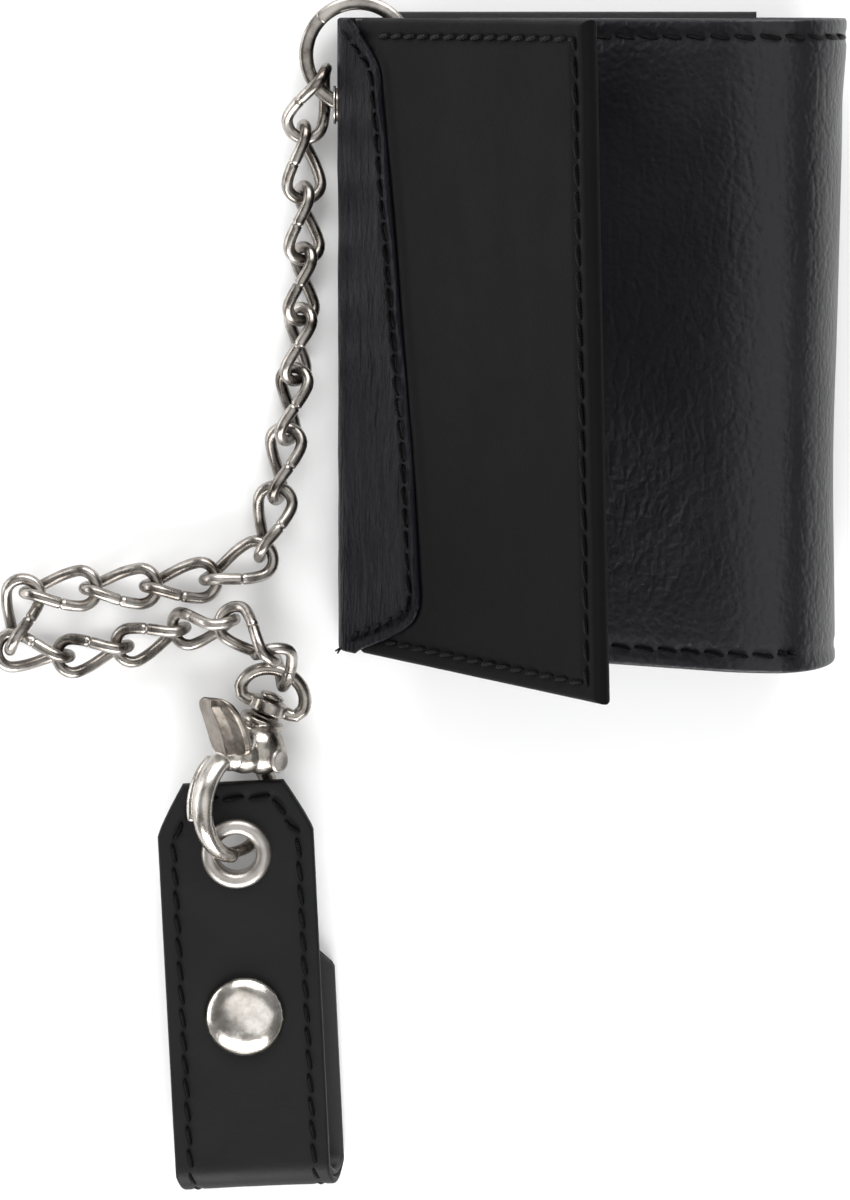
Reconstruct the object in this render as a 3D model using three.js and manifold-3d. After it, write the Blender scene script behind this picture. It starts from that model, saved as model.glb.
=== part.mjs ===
// A leather trifold chain wallet, lying on its back with its flap standing open.
// Millimetres, +Z up. The origin is the centre of the back face, on the floor. +Y runs to the
// wallet's top edge and +X from the flap's fold to the right fold.
import * as THREE from "three";
import { mergeVertices } from "three/addons/utils/BufferGeometryUtils.js";
import Module from "manifold-3d";

const wasm = await Module();
wasm.setup();

// ---------------------------------------------------------------- driving dimensions
const GAP = 0.3; // between pieces that touch on the real object

const WALLET_H = 108; // top edge to bottom edge
const LEATHER = 1.3; // outer leather, turned at its edges
const LINING = 0.7; // inner layers
const BACK_LEFT = -39.5; // where the flat back starts to turn up into each fold
const BACK_RIGHT = 30.5;

const FOLD_X = -34.5; // the flap's turning axis
const FOLD_Z = 8;
const FOLD_R = 8; // from that axis to the leather's outer face
const SPINE_CORNER = 3; // radius where the back turns up into the spine
const FLAP_ANGLE = 56; // how far the flap stands open, from lying over the wallet
const FLAP_LENGTH = 73; // from the turning axis to the flap's free edge
const FLAP_START = 6; // where the flap's stiff layers begin
const TAB_TOP = 10; // the tab's slanted edge, from the axis, at its top and bottom
const TAB_BOTTOM = 22.6;
const TAB_CHAMFER = 9;
const WINDOW_FRAME = 6; // width of the band around the identity window

const POCKET_SIDE = 27; // centre card pockets: half their width
const CENTRE_MOUTHS = [42, 30, 18]; // Y of each pocket's open edge
const PANEL_MOUTHS = [40, 26];
const POCKET_FLOOR = 3; // from the bottom edge up to each pocket's foot

const BULGE_A = 12.5; // right fold: half width and half height of its oval
const BULGE_B = 19;
const PANEL_ARC = 22; // radius in which the right panel turns down
const PANEL_SLOPE = 27;
const PANEL_END = -22; // X of the right panel's free edge

const RING_R = 8.8; // split ring, middle of its band
const RING_BAND = 2.4;
const RING_CENTRE = new THREE.Vector3(-39, 47.7, 5.6);
const EYELET_HOLE_R = 2.5;
const EYELET_LIP = 0.8;

const WIRE = 2; // chain wire
const LINK_LENGTH = 12.7; // centreline length of a link
const LINK_R = 3.2; // centreline radius of a link's ends
const HOOK = WIRE + GAP; // centreline distance between two hooked links
const CHAIN_START = new THREE.Vector3(-45.8, 42, 5.5);

// Each link's heading on the floor (degrees from +X), its climb, and its roll.
const LINKS = [
  [-112, -6, 90], [-90, 0, 78], [-90, 0, 66], [-93, 0, 54], [-96, 0, 42],
  [-98, 0, 30], [-100, 0, 18], [-106, 0, 6], [-158, 0, 0], [-174, 0, 0],
  [-178, 0, 0], [-176, 0, 0], [-104, 0, 0], [-6, 0, 0], [10, 0, 0],
  [18, 0, 0], [14, 32, 0], [-42, 22, 0], [-80, -60, 0],
];

const FOB_W = 27;
const FOB_TOP = 12.4; // from the grommet to the strap's top edge
const FOB_BOTTOM = -60.2; // and to the bottom fold
const FOB_TILT = 2.6; // the strap's turn on the floor
const FOB_LEATHER = 1.2;
const FOB_BEND_R = 4.9; // outer radius of the bottom fold
const FOB_TAIL = 0.7; // straight ends of that fold
const FOB_LOW = 0.2; // underside of the fob's back half
const FOB_BACK_TOP = -18; // upper end of the shorter back half
const FOB_BACK_SHIFT = 2.3; // the back half lies this far to the side
const FOB_BACK_CHAMFER = 4;
const FOB_CHAMFER = [4.8, 8.9]; // the strap's cut corners: across and along
const SNAP_Y = -28.7; // from the grommet to the snap
const SNAP_R = 7;
const SNAP_RISE = 2.4; // height of its domed cap
const RIVET_R = 1.5;
const SOCKET_R = 5;
const STUD_FOOT_R = 3.6;
const STUD_NECK_R = 1.2;
const GROMMET_HOLE_R = 3.4;
const GROMMET_R = 6.3;

const CLAW_R = 8.6; // clasp: centreline radius of the closed hook and gate
const CLAW_TILT = 50; // the hook's plane, from the floor
const SWIVEL_HEADING = 67.7; // from the clasp to the chain, on the floor
const SWIVEL_Z = 5.6;
const EYE_WIRE_R = 1.2;
const EYE_HALF_W = 5.8;
const EYE_TOP = 11.6; // from the clasp's neck to the middle of the eye's far wire
const COLLAR = [3.9, 6.2]; // the eye's collar on the swivel post, from the neck
const POST_R = 1.3;
const PIN = new THREE.Vector3(17.4, -1.6, 0); // the gate's pin, in the clasp's own frame
const PIN_R = 0.8;
const CHEEK_R = 3.9; // the clasp's two cheeks, and half their outer and inner spacing
const CHEEK_OUTER = 3.4;
const CHEEK_INNER = 1.5;
const LEVER_HALF_W = 3.2;
const LEVER = [[15.4, 3.4], [19, 2.6], [21.5, 5.2], [27, 8.2], [25.6, 10.6], [18, 7.8], [15.4, 5.6]];

// ---------------------------------------------------------------- materials
const finish = (color, roughness, metalness = 0) => () =>
  new THREE.MeshStandardMaterial({ color, roughness, metalness });
const grainLeather = finish(0x17171b, 0.42);
const smoothLeather = finish(0x26272a, 0.6);
const liningLeather = finish(0x1b1b1d, 0.7);
const clearPlastic = finish(0xb8bcc0, 0.15);
const nickel = finish(0x8c857b, 0.32, 1);

// ---------------------------------------------------------------- helpers
const rad = THREE.MathUtils.degToRad;
const V = (x, y, z) => new THREE.Vector3(x, y, z);

function toSolid(geometry) {
  const bare = geometry.clone();
  for (const name of Object.keys(bare.attributes)) if (name !== "position") bare.deleteAttribute(name);
  const merged = mergeVertices(bare, 1e-4);
  return new wasm.Manifold(new wasm.Mesh({
    numProp: 3,
    vertProperties: new Float32Array(merged.attributes.position.array),
    triVerts: new Uint32Array(merged.index.array),
  }));
}

function fromSolid(solid) {
  const mesh = solid.getMesh();
  return new THREE.BufferGeometry()
    .setAttribute("position", new THREE.BufferAttribute(mesh.vertProperties, 3))
    .setIndex(new THREE.BufferAttribute(mesh.triVerts, 1))
    .toNonIndexed();
}

const cut = (geometry, ...tools) =>
  fromSolid(tools.reduce((solid, tool) => solid.subtract(toSolid(tool)), toSolid(geometry)));
const join = (geometry, ...more) =>
  fromSolid(more.reduce((solid, piece) => solid.add(toSolid(piece)), toSolid(geometry)));

function add(parent, name, geometry, material) {
  const mesh = new THREE.Mesh(geometry, material());
  geometry.computeVertexNormals();
  mesh.name = name;
  parent.add(mesh);
  return mesh;
}

// A flat outline (x, y) raised from z0 to z1.
function plate(outline, z0, z1) {
  const shape = new THREE.Shape(outline.map(([x, y]) => new THREE.Vector2(x, y)));
  return new THREE.ExtrudeGeometry(shape, { depth: z1 - z0, bevelEnabled: false, steps: 1 })
    .translate(0, 0, z0);
}

const box = (x0, x1, y0, y1, z0, z1) =>
  plate([[x0, y0], [x1, y0], [x1, y1], [x0, y1]], z0, z1);

// A sheet that follows a line (x, z), with its thickness to the line's left, from y0 to y1.
function sheet(line, thickness, y0, y1) {
  const inner = line.map(([x, z], i) => {
    const [ax, az] = line[Math.max(i - 1, 0)];
    const [bx, bz] = line[Math.min(i + 1, line.length - 1)];
    const length = Math.hypot(bx - ax, bz - az);
    return [x - ((bz - az) / length) * thickness, z + ((bx - ax) / length) * thickness];
  });
  return plate([...line, ...inner.reverse()], 0, y1 - y0).rotateX(Math.PI / 2).translate(0, y1, 0);
}

// Points (x, z) along an oval arc, angles in degrees from +X towards +Z.
function arc(x, z, a, b, from, to, steps) {
  return Array.from({ length: steps + 1 }, (_, i) => {
    const angle = rad(from + ((to - from) * i) / steps);
    return [x + a * Math.cos(angle), z + b * Math.sin(angle)];
  });
}

// A ring or disc: the profile (radius, height) turned about +Z, listed counter-clockwise.
const turned = (profile, segments = 24) =>
  new THREE.LatheGeometry(profile.map(([r, h]) => new THREE.Vector2(r, h)), segments)
    .rotateX(Math.PI / 2);

const washer = (rIn, rOut, z0, z1, segments = 24) =>
  turned([[rIn, z0], [rOut, z0], [rOut, z1], [rIn, z1], [rIn, z0]], segments);
const rod = (r, z0, z1, segments = 16) => turned([[0, z0], [r, z0], [r, z1], [0, z1]], segments);

// A round bar along points, closed into a loop or ended flat. sideways gives each point's
// section direction, and radius is a number or a function of the place along it, 0 to 1.
function bar(points, sideways, radius, sides, closed) {
  const count = points.length;
  const at = (i) => points[closed ? (i + count) % count : THREE.MathUtils.clamp(i, 0, count - 1)];
  const positions = [];
  const triangles = [];
  points.forEach((point, i) => {
    const along = at(i + 1).clone().sub(at(i - 1)).normalize();
    const side = sideways(i).clone();
    side.addScaledVector(along, -side.dot(along)).normalize();
    const over = along.clone().cross(side);
    const r = typeof radius === "number" ? radius : radius(i / (count - 1));
    for (let k = 0; k < sides; k++) {
      const angle = (2 * Math.PI * k) / sides;
      const p = point.clone().addScaledVector(side, r * Math.cos(angle));
      p.addScaledVector(over, r * Math.sin(angle));
      positions.push(p.x, p.y, p.z);
    }
  });
  for (let i = 0; i < (closed ? count : count - 1); i++) {
    const next = (i + 1) % count;
    for (let k = 0; k < sides; k++) {
      const m = (k + 1) % sides;
      triangles.push(i * sides + k, i * sides + m, next * sides + m);
      triangles.push(i * sides + k, next * sides + m, next * sides + k);
    }
  }
  for (let k = 1; !closed && k < sides - 1; k++) {
    const end = (count - 1) * sides;
    triangles.push(0, k + 1, k, end, end + k, end + k + 1);
  }
  return new THREE.BufferGeometry()
    .setAttribute("position", new THREE.Float32BufferAttribute(positions, 3))
    .setIndex(triangles);
}

const TOP = WALLET_H / 2;
const wallet = new THREE.Group();

// ---------------------------------------------------------------- the wallet's back and centre
function makeCentre() {
  const left = BACK_LEFT + GAP;
  const right = BACK_RIGHT - GAP;
  add(wallet, "back_panel", box(left, right, -TOP, TOP, 0, LEATHER), grainLeather);
  // The divider behind which notes lie stands a little above the outer leather.
  let z = LEATHER + GAP;
  const low = -TOP + POCKET_FLOOR;
  add(wallet, "bill_divider", box(-34, 29, low, TOP + 1, z, z + LINING), liningLeather);
  // Card pockets, each lower at its mouth than the one behind it.
  for (const [i, mouth] of CENTRE_MOUTHS.entries()) {
    z += LINING + GAP;
    const pocket = box(-POCKET_SIDE, POCKET_SIDE, low, mouth, z, z + LINING);
    add(wallet, `centre_pocket_${i + 1}`, pocket, liningLeather);
  }
}

// ---------------------------------------------------------------- the flap's fold and spine
function flapFrame() {
  // Local +X runs from the turning axis to the free edge, and +Z to the outer face.
  const frame = new THREE.Group();
  frame.position.set(FOLD_X, 0, FOLD_Z);
  frame.rotation.y = -rad(FLAP_ANGLE);
  wallet.add(frame);
  return frame;
}

function makeLeftFold() {
  const angle = rad(FLAP_ANGLE);
  const along = [Math.cos(angle), Math.sin(angle)];
  const bendEnd = 90 + FLAP_ANGLE;
  const bend = arc(FOLD_X, FOLD_Z, FOLD_R, FOLD_R, 180, bendEnd, 4);
  const [endX, endZ] = bend[bend.length - 1];
  const straight = FLAP_START - GAP;
  const line = [
    [endX + along[0] * straight, endZ + along[1] * straight],
    ...bend.reverse(),
    ...arc(BACK_LEFT, SPINE_CORNER, SPINE_CORNER, SPINE_CORNER, 180, 270, 4),
  ];
  const hole = rod(EYELET_HOLE_R + 0.4 + GAP, -8, 8).rotateY(Math.PI / 2);
  hole.translate(FOLD_X - FOLD_R, eyeletY, RING_CENTRE.z);
  add(wallet, "left_fold", cut(sheet(line, LEATHER, -TOP, TOP), hole), grainLeather);
}

// The ring's band crosses the spine, and the eyelet lines that hole.
const eyeletY = RING_CENTRE.y - Math.sqrt(RING_R ** 2 - (FOLD_X - FOLD_R + 1 - RING_CENTRE.x) ** 2);

function makeEyelet() {
  const wall = FOLD_X - FOLD_R;
  const r = EYELET_HOLE_R;
  const outer = wall - GAP - 0.4;
  const inner = wall + LEATHER + GAP + 0.4;
  const profile = [
    [r, outer], [r + EYELET_LIP, outer], [r + EYELET_LIP, outer + 0.4], [r + 0.4, outer + 0.4],
    [r + 0.4, inner - 0.4], [r + EYELET_LIP, inner - 0.4], [r + EYELET_LIP, inner], [r, inner], [r, outer],
  ];
  const eyelet = turned(profile, 20).rotateY(Math.PI / 2);
  add(wallet, "eyelet", eyelet.translate(0, eyeletY, RING_CENTRE.z), nickel);
}

// ---------------------------------------------------------------- the flap
function makeFlap() {
  const flap = flapFrame();
  const face = FOLD_R;
  const edgeAt = (y) => THREE.MathUtils.mapLinear(y, TOP, -TOP, TAB_TOP, TAB_BOTTOM);
  const tab = [
    [FLAP_START, -TOP + 2], [edgeAt(-TOP + TAB_CHAMFER) - TAB_CHAMFER, -TOP + 2],
    [edgeAt(-TOP + TAB_CHAMFER), -TOP + TAB_CHAMFER], [edgeAt(TOP - 8), TOP - 8],
    [FLAP_START + 1.5, TOP - 1],
    [FLAP_START, TOP - 1],
  ];
  add(flap, "flap_tab", plate(tab, face - LEATHER + GAP, face), grainLeather);
  const outerTop = face - LEATHER;
  const layer = (name, low, high, material) =>
    add(flap, name, box(FLAP_START, FLAP_LENGTH, -TOP, TOP, low, high), material);
  layer("flap_outer", outerTop - LEATHER, outerTop, smoothLeather);
  const liningTop = outerTop - LEATHER - GAP;
  layer("flap_lining", liningTop - LINING, liningTop, liningLeather);

  // A clear window in a frame on the flap's inner side. Each is the frame's outline, drawn in.
  const frameTop = liningTop - LINING - GAP;
  const inset = (by, low, high) =>
    box(10 + by, FLAP_LENGTH - 4 - by, -TOP + 4 + by, TOP - 14 - by, low, high);
  const frame = inset(0, frameTop - LINING, frameTop);
  const opening = inset(WINDOW_FRAME, frameTop - 2 * LINING, frameTop + LINING);
  add(flap, "id_window_frame", cut(frame, opening), liningLeather);
  add(flap, "id_window", inset(WINDOW_FRAME + GAP, frameTop - LINING, frameTop - GAP), clearPlastic);
}

// ---------------------------------------------------------------- the right fold and panel
function makeRightPanel() {
  const bulge = arc(BACK_RIGHT, BULGE_B, BULGE_A, BULGE_B, -90, 88, 14);
  add(wallet, "right_fold", sheet(bulge, LEATHER, -TOP, TOP), grainLeather);
  const slope = rad(PANEL_SLOPE);
  const top = 2 * BULGE_B;
  const turn = arc(BACK_RIGHT, top - PANEL_ARC, PANEL_ARC, PANEL_ARC, 91, 90 + PANEL_SLOPE, 4);
  // The panel's line at a depth below its outer face, down to an X.
  const lineAt = (depth, startX, endX) => {
    const pts = [];
    for (const [x, z] of turn) {
      const nx = (x - BACK_RIGHT) / PANEL_ARC;
      const nz = (z - top + PANEL_ARC) / PANEL_ARC;
      if (x - nx * depth < startX) pts.push([x - nx * depth, z - nz * depth]);
    }
    const [lastX, lastZ] = pts[pts.length - 1];
    pts.push([endX, lastZ - (lastX - endX) * Math.tan(slope)]);
    return pts;
  };
  const step = LINING + GAP;
  const depth = LEATHER + GAP;
  add(wallet, "right_outer", sheet(lineAt(0, 99, PANEL_END), LEATHER, -TOP, TOP), grainLeather);
  add(wallet, "right_lining", sheet(lineAt(depth, 99, PANEL_END), LINING, -TOP, TOP), liningLeather);
  for (const [i, mouth] of PANEL_MOUTHS.entries()) {
    const line = lineAt(depth + step * (i + 1), 99, PANEL_END + 2);
    const pocket = sheet(line, LINING, -TOP + POCKET_FLOOR, mouth);
    add(wallet, `right_pocket_${i + 1}`, pocket, liningLeather);
  }
}

// ---------------------------------------------------------------- split ring
function makeSplitRing() {
  const half = RING_BAND / 2;
  const ring = turned([
    [RING_R - half, -half * 0.5], [RING_R - half * 0.5, -half], [RING_R + half * 0.5, -half],
    [RING_R + half, -half * 0.5], [RING_R + half, half * 0.5], [RING_R + half * 0.5, half],
    [RING_R - half * 0.5, half], [RING_R - half, half * 0.5], [RING_R - half, -half * 0.5],
  ], 36);
  add(wallet, "split_ring", ring.translate(...RING_CENTRE.toArray()), nickel);
}

// ---------------------------------------------------------------- chain
const direction = (heading, climb) => V(
  Math.cos(rad(climb)) * Math.cos(rad(heading)),
  Math.cos(rad(climb)) * Math.sin(rad(heading)),
  Math.sin(rad(climb)),
);

// A curb link from its first end, along a heading: its plane turns a quarter from end to end.
function linkGeometry(start, heading, climb, roll) {
  const along = direction(heading, climb);
  const across = direction(heading + 90, 0);
  const upward = along.clone().cross(across).negate();
  const ends = 7;
  const flat = [];
  for (let k = 0; k <= ends; k++) {
    const angle = rad(-90 + (180 * k) / ends);
    flat.push([LINK_LENGTH - LINK_R + LINK_R * Math.cos(angle), LINK_R * Math.sin(angle)]);
  }
  for (let k = 0; k <= ends; k++) {
    const angle = rad(90 + (180 * k) / ends);
    flat.push([LINK_R + LINK_R * Math.cos(angle), LINK_R * Math.sin(angle)]);
  }
  const turnAt = (u) => rad(roll) + (Math.PI / 2) * THREE.MathUtils.smoothstep(u, 0, LINK_LENGTH);
  const points = flat.map(([u, v]) => start.clone()
    .addScaledVector(along, u)
    .addScaledVector(across, v * Math.cos(turnAt(u)))
    .addScaledVector(upward, v * Math.sin(turnAt(u))));
  const sideways = (i) => across.clone().multiplyScalar(-Math.sin(turnAt(flat[i][0])))
    .addScaledVector(upward, Math.cos(turnAt(flat[i][0])));
  return bar(points, sideways, WIRE / 2, 8, true);
}

function makeChain() {
  let hook = CHAIN_START;
  let last = { heading: LINKS[0][0], climb: LINKS[0][1] };
  LINKS.forEach(([heading, climb, roll], i) => {
    const reach = i === 0 ? RING_BAND / 2 + WIRE / 2 + 1.5 : HOOK;
    // A link that starts flat swings sideways on the upright end before it. One that starts
    // upright tips on a flat end instead.
    const startsFlat = roll < 45;
    const towards = startsFlat ? direction(heading, last.climb) : direction(last.heading, climb);
    const start = hook.clone().addScaledVector(towards, -reach);
    const name = `chain_link_${String(i + 1).padStart(2, "0")}`;
    add(wallet, name, linkGeometry(start, heading, climb, roll), nickel);
    hook = start.clone().addScaledVector(direction(heading, climb), LINK_LENGTH);
    last = { heading, climb };
  });
  return { end: hook, climb: last.climb };
}

// ---------------------------------------------------------------- swivel eye and clasp
function makeSwivelEye(neck) {
  const eye = new THREE.Group();
  eye.position.copy(neck);
  eye.rotation.z = rad(SWIVEL_HEADING - 90); // local +Y runs along the swivel
  wallet.add(eye);
  const half = EYE_HALF_W;
  const low = COLLAR[0] + EYE_WIRE_R;
  const points = [V(-2.8, low, 0), V(-4.8, low - 0.2, 0), V(-half, low + 1.4, 0)];
  for (let k = 0; k <= 8; k++) {
    const angle = rad(180 - (180 * k) / 8);
    points.push(V(half * Math.cos(angle), EYE_TOP - 4.8 + 4.8 * Math.sin(angle), 0));
  }
  for (const p of points.slice(0, 3).reverse()) points.push(V(-p.x, p.y, 0));
  const loop = bar(points, () => V(0, 0, 1), EYE_WIRE_R, 8, false);
  const collar = washer(POST_R + 0.3, 3.2, COLLAR[0], COLLAR[1], 20).rotateX(-Math.PI / 2);
  const bore = rod(POST_R + 0.12, COLLAR[0] - 1, COLLAR[1] + 1, 20).rotateX(-Math.PI / 2);
  add(eye, "swivel_eye", cut(join(collar, loop), bore), nickel);
}

// The clasp's own frame: its origin is the grommet's centre, local X runs towards the swivel,
// local Y to the gate's side and local Z along the gate's pin.
function claspFrame(grommet) {
  const frame = new THREE.Group();
  const a = V(0, 1, 0);
  const b = V(-Math.cos(rad(CLAW_TILT)), 0, Math.sin(rad(CLAW_TILT)));
  frame.matrixAutoUpdate = false;
  frame.matrix.makeBasis(a, b, a.clone().cross(b)).setPosition(grommet);
  wallet.add(frame);
  return frame;
}

const clawPoint = (angle, r = CLAW_R) =>
  V(CLAW_R + r * Math.cos(rad(angle)), r * Math.sin(rad(angle)), 0);
const clawArc = (from, to, steps) =>
  Array.from({ length: steps + 1 }, (_, i) => clawPoint(from + ((to - from) * i) / steps));
const clawOut = (points) => (i) => points[i].clone().sub(V(CLAW_R, 0, 0));

// The swivel post's profile: a waisted foot, its collar's seat and the head that holds the eye on.
const POST = [
  [0, -2.6], [2.4, -2.6], [3, -0.6], [3, 1.4], [3.4, 1.6], [3.4, 2.4], [2.6, 2.6], [2.6, COLLAR[0] - GAP],
  [POST_R, COLLAR[0] - GAP], [POST_R, COLLAR[1] + GAP], [2.2, COLLAR[1] + GAP], [2.2, COLLAR[1] + 1],
  [0, COLLAR[1] + 1.3],
];

function makeClasp(grommet, neck) {
  const clasp = claspFrame(grommet);
  const atPin = (geometry) => geometry.translate(PIN.x, PIN.y, 0);
  const aroundPin = (by, low, high) => atPin(box(-by, by, -by, by, low, high));

  const hookLine = clawArc(-24, -199, 12);
  const hook = bar(hookLine, clawOut(hookLine), (t) => 1.5 - 0.5 * t, 8, false);
  const cheeks = atPin(rod(CHEEK_R, -CHEEK_OUTER, CHEEK_OUTER, 20)).translate(0, -0.6, 0);
  const slot = atPin(box(-9, 3.2, -3, 9, -CHEEK_INNER, CHEEK_INNER));
  const pinHole = atPin(rod(PIN_R + 0.1, -6, 6, 12));
  const standing = new THREE.Quaternion().setFromUnitVectors(V(0, 0, 1), direction(SWIVEL_HEADING, 0));
  const place = new THREE.Matrix4().compose(neck, standing, V(1, 1, 1));
  const post = turned(POST, 20).applyMatrix4(place).applyMatrix4(clasp.matrix.clone().invert());
  add(clasp, "clasp_body", cut(join(cheeks, hook, post), slot, pinHole), nickel);

  // The gate: an arm that closes the hook, a hub between the cheeks and the thumb lever.
  const hubHigh = 0.2;
  const hubLow = -1.2;
  const gateLine = [V(PIN.x, PIN.y, 0), V(17.6, 2.2, 0), ...clawArc(28, 154, 9)];
  const arm = bar(gateLine, () => V(0, 0, 1), (t) => 1.2 + 0.25 * Math.sin(Math.PI * t), 8, false);
  const hub = atPin(rod(2.2, hubLow, hubHigh, 16));
  const lever = plate(LEVER, -LEVER_HALF_W, LEVER_HALF_W);
  const gateHole = atPin(rod(PIN_R + 0.08, -6, 6, 12));
  const gate = cut(join(arm, hub, lever), gateHole, aroundPin(2.4, hubHigh, 4), aroundPin(2.4, -4, hubLow));
  add(clasp, "clasp_gate", gate, nickel);
  add(clasp, "gate_pin", atPin(rod(PIN_R, -3.8, 3.8, 12)), nickel);
  add(clasp, "gate_spring", atPin(washer(PIN_R + 0.25, 1.7, 0.45, 1.25, 12)), nickel);
}

// ---------------------------------------------------------------- belt fob
function makeFob(grommet) {
  const fob = new THREE.Group();
  fob.position.set(grommet.x, grommet.y, 0);
  fob.rotation.z = rad(FOB_TILT);
  wallet.add(fob);
  const half = FOB_W / 2;
  const face = FOB_LOW + 2 * FOB_BEND_R; // outer face of the front half
  const bendY = FOB_BOTTOM + FOB_BEND_R;
  const frontEnd = bendY + FOB_TAIL + GAP;
  const [across, down] = FOB_CHAMFER;
  const outline = [
    [-half, frontEnd], [half, frontEnd], [half, FOB_TOP - down], [half - across, FOB_TOP],
    [-half + across, FOB_TOP], [-half, FOB_TOP - down],
  ];
  const hole = rod(GROMMET_HOLE_R + 0.5 + GAP, face - 4, face + 1);
  const post = rod(RIVET_R + GAP, 0, face + 1, 12).translate(0, SNAP_Y, 0);
  const frontLow = face - 2 * FOB_LEATHER - GAP;
  add(fob, "fob_front", cut(plate(outline, face - FOB_LEATHER, face), hole, post), smoothLeather);
  add(fob, "fob_lining", cut(plate(outline, frontLow, frontLow + FOB_LEATHER), hole, post), liningLeather);
  const bend = [
    [bendY + FOB_TAIL, face], ...arc(bendY, FOB_LOW + FOB_BEND_R, FOB_BEND_R, FOB_BEND_R, 90, 270, 10),
    [bendY + FOB_TAIL, FOB_LOW],
  ];
  const bendSheet = sheet(bend, 2 * FOB_LEATHER + GAP, -half, half).rotateZ(Math.PI / 2);
  add(fob, "fob_bend", bendSheet, smoothLeather);

  const corner = FOB_BACK_CHAMFER;
  const back = [
    [-half, frontEnd], [half, frontEnd], [half, FOB_BACK_TOP - corner], [half - corner, FOB_BACK_TOP],
    [-half + corner, FOB_BACK_TOP], [-half, FOB_BACK_TOP - corner],
  ].map(([x, y]) => [x + FOB_BACK_SHIFT, y]);
  const backTop = FOB_LOW + 2 * FOB_LEATHER + GAP;
  const backPost = rod(STUD_NECK_R + GAP, -1, backTop + 1, 12).translate(0, SNAP_Y, 0);
  const sink = rod(STUD_FOOT_R + GAP, -1, FOB_LOW + 0.5, 16).translate(0, SNAP_Y, 0);
  add(fob, "fob_back", cut(plate(back, FOB_LOW, backTop), backPost, sink), smoothLeather);

  // Grommet: a tube with a rolled flange on each face.
  const r = GROMMET_HOLE_R;
  const lowest = frontLow - GAP - 0.6;
  const highest = face + GAP + 0.7;
  add(fob, "grommet", turned([
    [r, lowest], [GROMMET_R, lowest], [GROMMET_R, lowest + 0.6], [r + 0.5, lowest + 0.6],
    [r + 0.5, face + GAP], [GROMMET_R, face + GAP], [GROMMET_R - 0.8, highest], [r + 0.6, highest],
    [r, highest - 0.5], [r, lowest],
  ], 28), nickel);

  // Snap: the cap and its rivet with the socket under the front half, and the stud on the back half.
  const cap = new THREE.Group();
  cap.position.y = SNAP_Y;
  fob.add(cap);
  const capLow = face + GAP;
  add(cap, "snap_cap", turned([
    [0, capLow], [SNAP_R, capLow], [SNAP_R, capLow + SNAP_RISE * 0.2],
    [SNAP_R * 0.87, capLow + SNAP_RISE * 0.58], [SNAP_R * 0.6, capLow + SNAP_RISE * 0.84],
    [SNAP_R * 0.3, capLow + SNAP_RISE * 0.96], [0, capLow + SNAP_RISE],
  ], 28), nickel);
  const socketTop = frontLow - GAP;
  add(cap, "snap_rivet", rod(RIVET_R, socketTop - 1.2, capLow - GAP, 12), nickel);
  const socket = washer(RIVET_R + GAP, SOCKET_R, socketTop - 1.6, socketTop, 20);
  add(cap, "snap_socket", socket, nickel);
  const foot = FOB_LOW - 0.1;
  add(cap, "snap_stud", turned([
    [0, foot], [STUD_FOOT_R, foot], [STUD_FOOT_R, foot + 0.5], [STUD_NECK_R, foot + 0.5],
    [STUD_NECK_R, backTop + GAP], [3.2, backTop + GAP], [3.2, backTop + 0.9], [2.2, backTop + 1.1],
    [0, backTop + 1.1],
  ], 16), nickel);
}

makeCentre();
makeLeftFold();
makeEyelet();
makeFlap();
makeRightPanel();
makeSplitRing();
const { end, climb } = makeChain();
// The eye's far wire lies inside the last link's end, and the clasp follows from there.
const eyeWire = end.clone().addScaledVector(
  direction(SWIVEL_HEADING - 180, climb), -(WIRE / 2 + EYE_WIRE_R + GAP));
const neck = V(eyeWire.x, eyeWire.y, SWIVEL_Z)
  .addScaledVector(direction(SWIVEL_HEADING, 0), -EYE_TOP);
const grommetZ = FOB_LOW + 2 * FOB_BEND_R - FOB_LEATHER - GAP / 2;
const grommet = V(neck.x - 3.6, neck.y - 20.5, grommetZ);
makeSwivelEye(neck);
makeClasp(grommet, neck);
makeFob(grommet);

export default wallet;
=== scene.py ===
"""The looks of a leather chain wallet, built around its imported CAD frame.

Shapes are written in millimetres in the row's frame and turned into metres in one place,
mesh_object(). The wallet lies on its back on a pale floor with its flap standing open.
"""
import math

import bmesh
import bpy
import numpy as np
from mathutils import Matrix, Vector, noise


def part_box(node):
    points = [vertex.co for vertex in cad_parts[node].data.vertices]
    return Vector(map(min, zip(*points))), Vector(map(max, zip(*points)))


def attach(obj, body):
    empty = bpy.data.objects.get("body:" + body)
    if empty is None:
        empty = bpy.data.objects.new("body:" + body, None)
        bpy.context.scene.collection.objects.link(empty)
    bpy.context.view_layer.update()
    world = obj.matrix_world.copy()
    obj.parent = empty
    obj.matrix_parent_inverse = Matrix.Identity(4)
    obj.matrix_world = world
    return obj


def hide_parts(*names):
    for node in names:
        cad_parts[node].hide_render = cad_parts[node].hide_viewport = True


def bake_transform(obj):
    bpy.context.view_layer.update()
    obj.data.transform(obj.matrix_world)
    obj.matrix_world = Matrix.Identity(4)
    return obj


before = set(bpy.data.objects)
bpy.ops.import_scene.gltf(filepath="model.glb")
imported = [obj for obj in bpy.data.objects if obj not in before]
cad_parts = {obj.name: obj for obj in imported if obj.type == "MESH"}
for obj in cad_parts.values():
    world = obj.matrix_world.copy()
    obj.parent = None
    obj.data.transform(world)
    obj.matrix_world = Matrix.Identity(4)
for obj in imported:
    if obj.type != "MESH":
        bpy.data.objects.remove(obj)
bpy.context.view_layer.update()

MM = 0.001
X, Y, Z = np.eye(3)

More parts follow.
